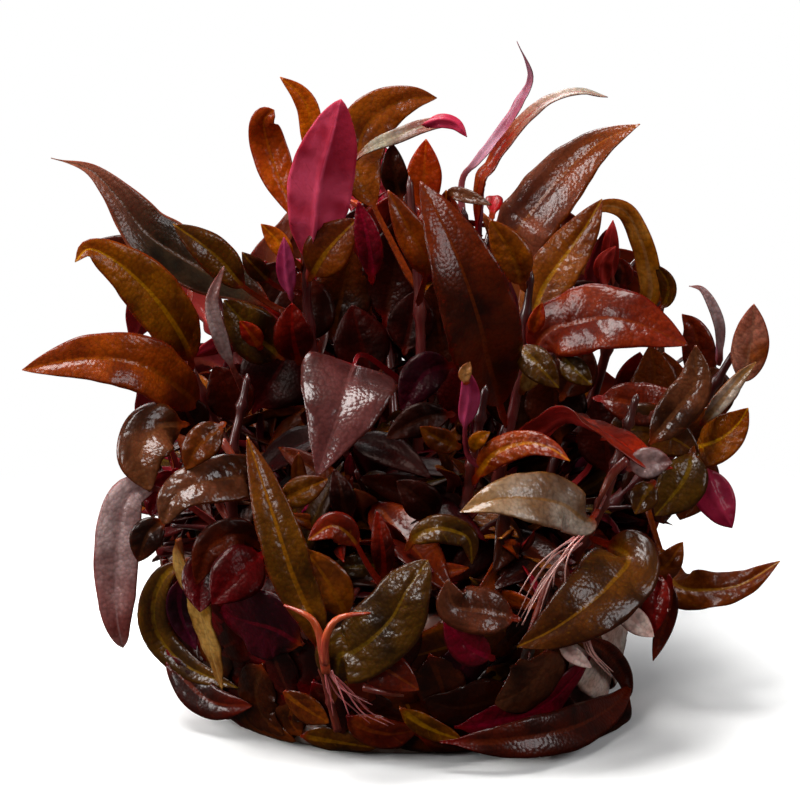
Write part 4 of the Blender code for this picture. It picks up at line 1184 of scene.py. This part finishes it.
def skirt():
    """Leaves pressed on the plug's side all round, and leaves that hang over its rim."""
    rng = random.Random(5)
    for index in range(SKIRT_LEAVES):
        hangs = index % 3 == 0
        angle = index * GOLDEN_DEGREES
        start = rng.uniform(19, 25) if hangs else rng.uniform(5, 19.5)
        drop = rng.uniform(6, 15) if hangs else rng.uniform(2, 12)
        sweep = rng.uniform(-30, 30)
        lift = rng.uniform(1.2, 2.6) if hangs else rng.uniform(0.3, 0.75)
        width = rng.uniform(4.2, 7.5)
        points = [round_plug(angle + sweep * t, max(1.5, start - drop * t), lift) for t in (0, 0.33, 0.67, 1)]
        spine = smooth(points, BUD_GRID[1])
        tone = rng.choice(STEM_TONES)
        pixels, away = pictured(spine)
        bare = (np.hypot(*(pixels - BARE_GEL).T) < BARE_RADIUS + width / 3 / MM_PER_PIXEL).any()
        if away.min() < 0 and bare:
            continue
        if not hangs or fits(spine, width * 0.6, 0.1):
            SMALL[tone].append(pressed_blade(points, width, lift, 400 + index, BUD_GRID)[1])


def forks():
    """The coral stalks low on the front, where two leaves part, and the bare stalks near the rim."""
    thinning = 1 - 0.75 * np.linspace(0, 1, TWIG_GRID[1] + 1) ** 2
    for radius, tint, route in STALKS:
        TWIGS.append(tube([seen(*point) for point in route], radius * thinning, TWIG_GRID, tint=tint))


def roots():
    """Thin roots that run over the plug and down its side."""
    rng = random.Random(3)
    for index in range(LOOSE_ROOTS):
        turn = rng.uniform(0, 360)
        height = rng.uniform(9, 18.6)
        route = []
        for step in range(5):
            route.append(round_plug(turn + rng.uniform(-2, 2) + step * rng.uniform(-3, 3),
                                    max(1.5, height - step * rng.uniform(1.0, 2.6)), rng.uniform(0.05, 0.5)))
        ROOTS.append(tube(route, (0.17, 0.08), ROOT_GRID, index))
    for count, fan, tint, middle in ROOT_BUNDLES:
        for index in range(count):
            away = np.array([rng.uniform(-1, 1) for _ in range(3)]) * fan
            route = [seen(*point) + away * (0.15 + share) + [rng.uniform(-0.3, 0.3) for _ in range(3)]
                     for point, share in zip(middle, np.linspace(0, 0.8, len(middle)))]
            ROOTS.append(tube(route, (0.14, 0.06), ROOT_GRID, index, tint))


def gel():
    """The plug, with the dents and swells that the cup and the roots left in it."""
    mesh = bmesh.new()
    profile = [(0.0, 0.0)]
    profile += [(plug_radius(z), z) for z in PLUG_EDGE_HEIGHT * (1 - np.cos(np.linspace(0, math.pi / 2, 7)))]
    profile += [(plug_radius(z), z) for z in np.linspace(4, PLUG_HEIGHT - RIM_ROUND, 14)]
    profile += [(PLUG_TOP_RADIUS - RIM_ROUND + RIM_ROUND * math.cos(a) - 0.15,
                 PLUG_HEIGHT - RIM_ROUND + RIM_ROUND * math.sin(a)) for a in np.linspace(0.2, math.pi / 2, 6)]
    profile += [(radius, PLUG_HEIGHT) for radius in (25.0, 21.0, 16.0, 11.0, 6.0, 0.0)]
    corners = [mesh.verts.new((radius * MM, 0, height * MM)) for radius, height in profile]
    edges = [mesh.edges.new(pair) for pair in zip(corners, corners[1:])]
    bmesh.ops.spin(mesh, geom=corners + edges, cent=(0, 0, 0), axis=UP, angle=math.tau, steps=120, use_merge=True)
    bmesh.ops.remove_doubles(mesh, verts=mesh.verts, dist=0.001 * MM)
    bmesh.ops.recalc_face_normals(mesh, faces=mesh.faces)
    for corner in mesh.verts:
        place_at = corner.co / MM
        outward = Vector((place_at.x, place_at.y, 0))
        if place_at.z < DENT_FROM or outward.length <= 1:
            continue
        turn = math.atan2(place_at.y, place_at.x)
        dent = math.sin(turn * 5 + 1) * 0.25 + math.sin(turn * 11 + place_at.z * 0.5) * 0.18
        dent += math.sin(turn * 23 + place_at.z * 1.3 + 2) * 0.1
        corner.co -= outward.normalized() * max(0.0, 0.35 + dent) * MM
    for face in mesh.faces:
        face.smooth = True
    piece("gel", [finished(mesh, "gel")], [gel_material()], "culture_gel", "gel_plug")


def joined_pieces():
    """The small leaves by tone, the short shoots and the roots, in place of the undergrowth."""
    for tone, meshes in SMALL.items():
        if meshes:
            leaf_piece(f"small_leaves_{tone}", meshes, tone, "undergrowth")
    piece("short_shoots", TWIGS, [stem_material()], "stem", "undergrowth")
    piece("roots", ROOTS, [root_material()], "stem")


def softbox(name, location, size, power, colour):
    """A square soft light aimed at the clump's middle."""
    light = bpy.data.lights.new(name, "AREA")
    light.shape = "SQUARE"
    light.size = size
    light.energy = power
    light.color = colour
    item = bpy.data.objects.new(name, light)
    item.location = location
    item.rotation_euler = (Vector(LIT_POINT) - item.location).to_track_quat("-Z", "Y").to_euler()
    bpy.context.scene.collection.objects.link(item)


def studio():
    """A plain pale floor, soft lights and the photograph's camera."""
    scene = bpy.context.scene
    mesh = bmesh.new()
    bmesh.ops.create_circle(mesh, cap_ends=True, segments=96, radius=2.5)
    floor = bpy.data.objects.new("floor", finished(mesh, "floor"))
    floor.location.z = -0.0001
    scene.collection.objects.link(floor)
    floor.data.materials.append(paper_material())

    scene.world = bpy.data.worlds.new("studio")
    scene.world.use_nodes = True
    tree = scene.world.node_tree
    direct = add(tree, "LightPath", out="Is Camera Ray")
    give(tree.nodes["Background"], {
        "Color": linear("FFFFFF"),
        "Strength": add(tree, "MapRange", [direct, 0.0, 1.0, 0.045, 1.0], **SMOOTHLY),
    })
    for light in LIGHTS:
        softbox(*light)

    camera = bpy.data.objects.new("camera", bpy.data.cameras.new("camera"))
    camera.data.sensor_width = SENSOR
    camera.data.lens = SENSOR * VIEW_DISTANCE / (PICTURE_SIDE * MM_PER_PIXEL)
    camera.data.clip_start = 0.01
    axes = Matrix(np.column_stack((RIGHT, UPWARD, -AWAY))).to_4x4()
    camera.matrix_world = Matrix.Translation(Vector(VIEW_CENTRE - AWAY * VIEW_DISTANCE) * MM) @ axes
    scene.collection.objects.link(camera)
    scene.camera = camera
    scene.view_settings.view_transform = "Standard"


for seed, entry in enumerate(by_side(LEAVES)):
    large_leaf(seed, *entry)
for seed, entry in enumerate(by_side(PRESSED), 100):
    pressed_leaf(seed, *entry)
for seed, entry in enumerate(SMALLER, 200):
    smaller_leaf(seed, *entry)
for seed, entry in enumerate(SMALLER_PRESSED, 300):
    smaller_pressed_leaf(seed, *entry)
stems()
between_shoots()
mat()
carpet()
skirt()
forks()
roots()
gel()
joined_pieces()
studio()
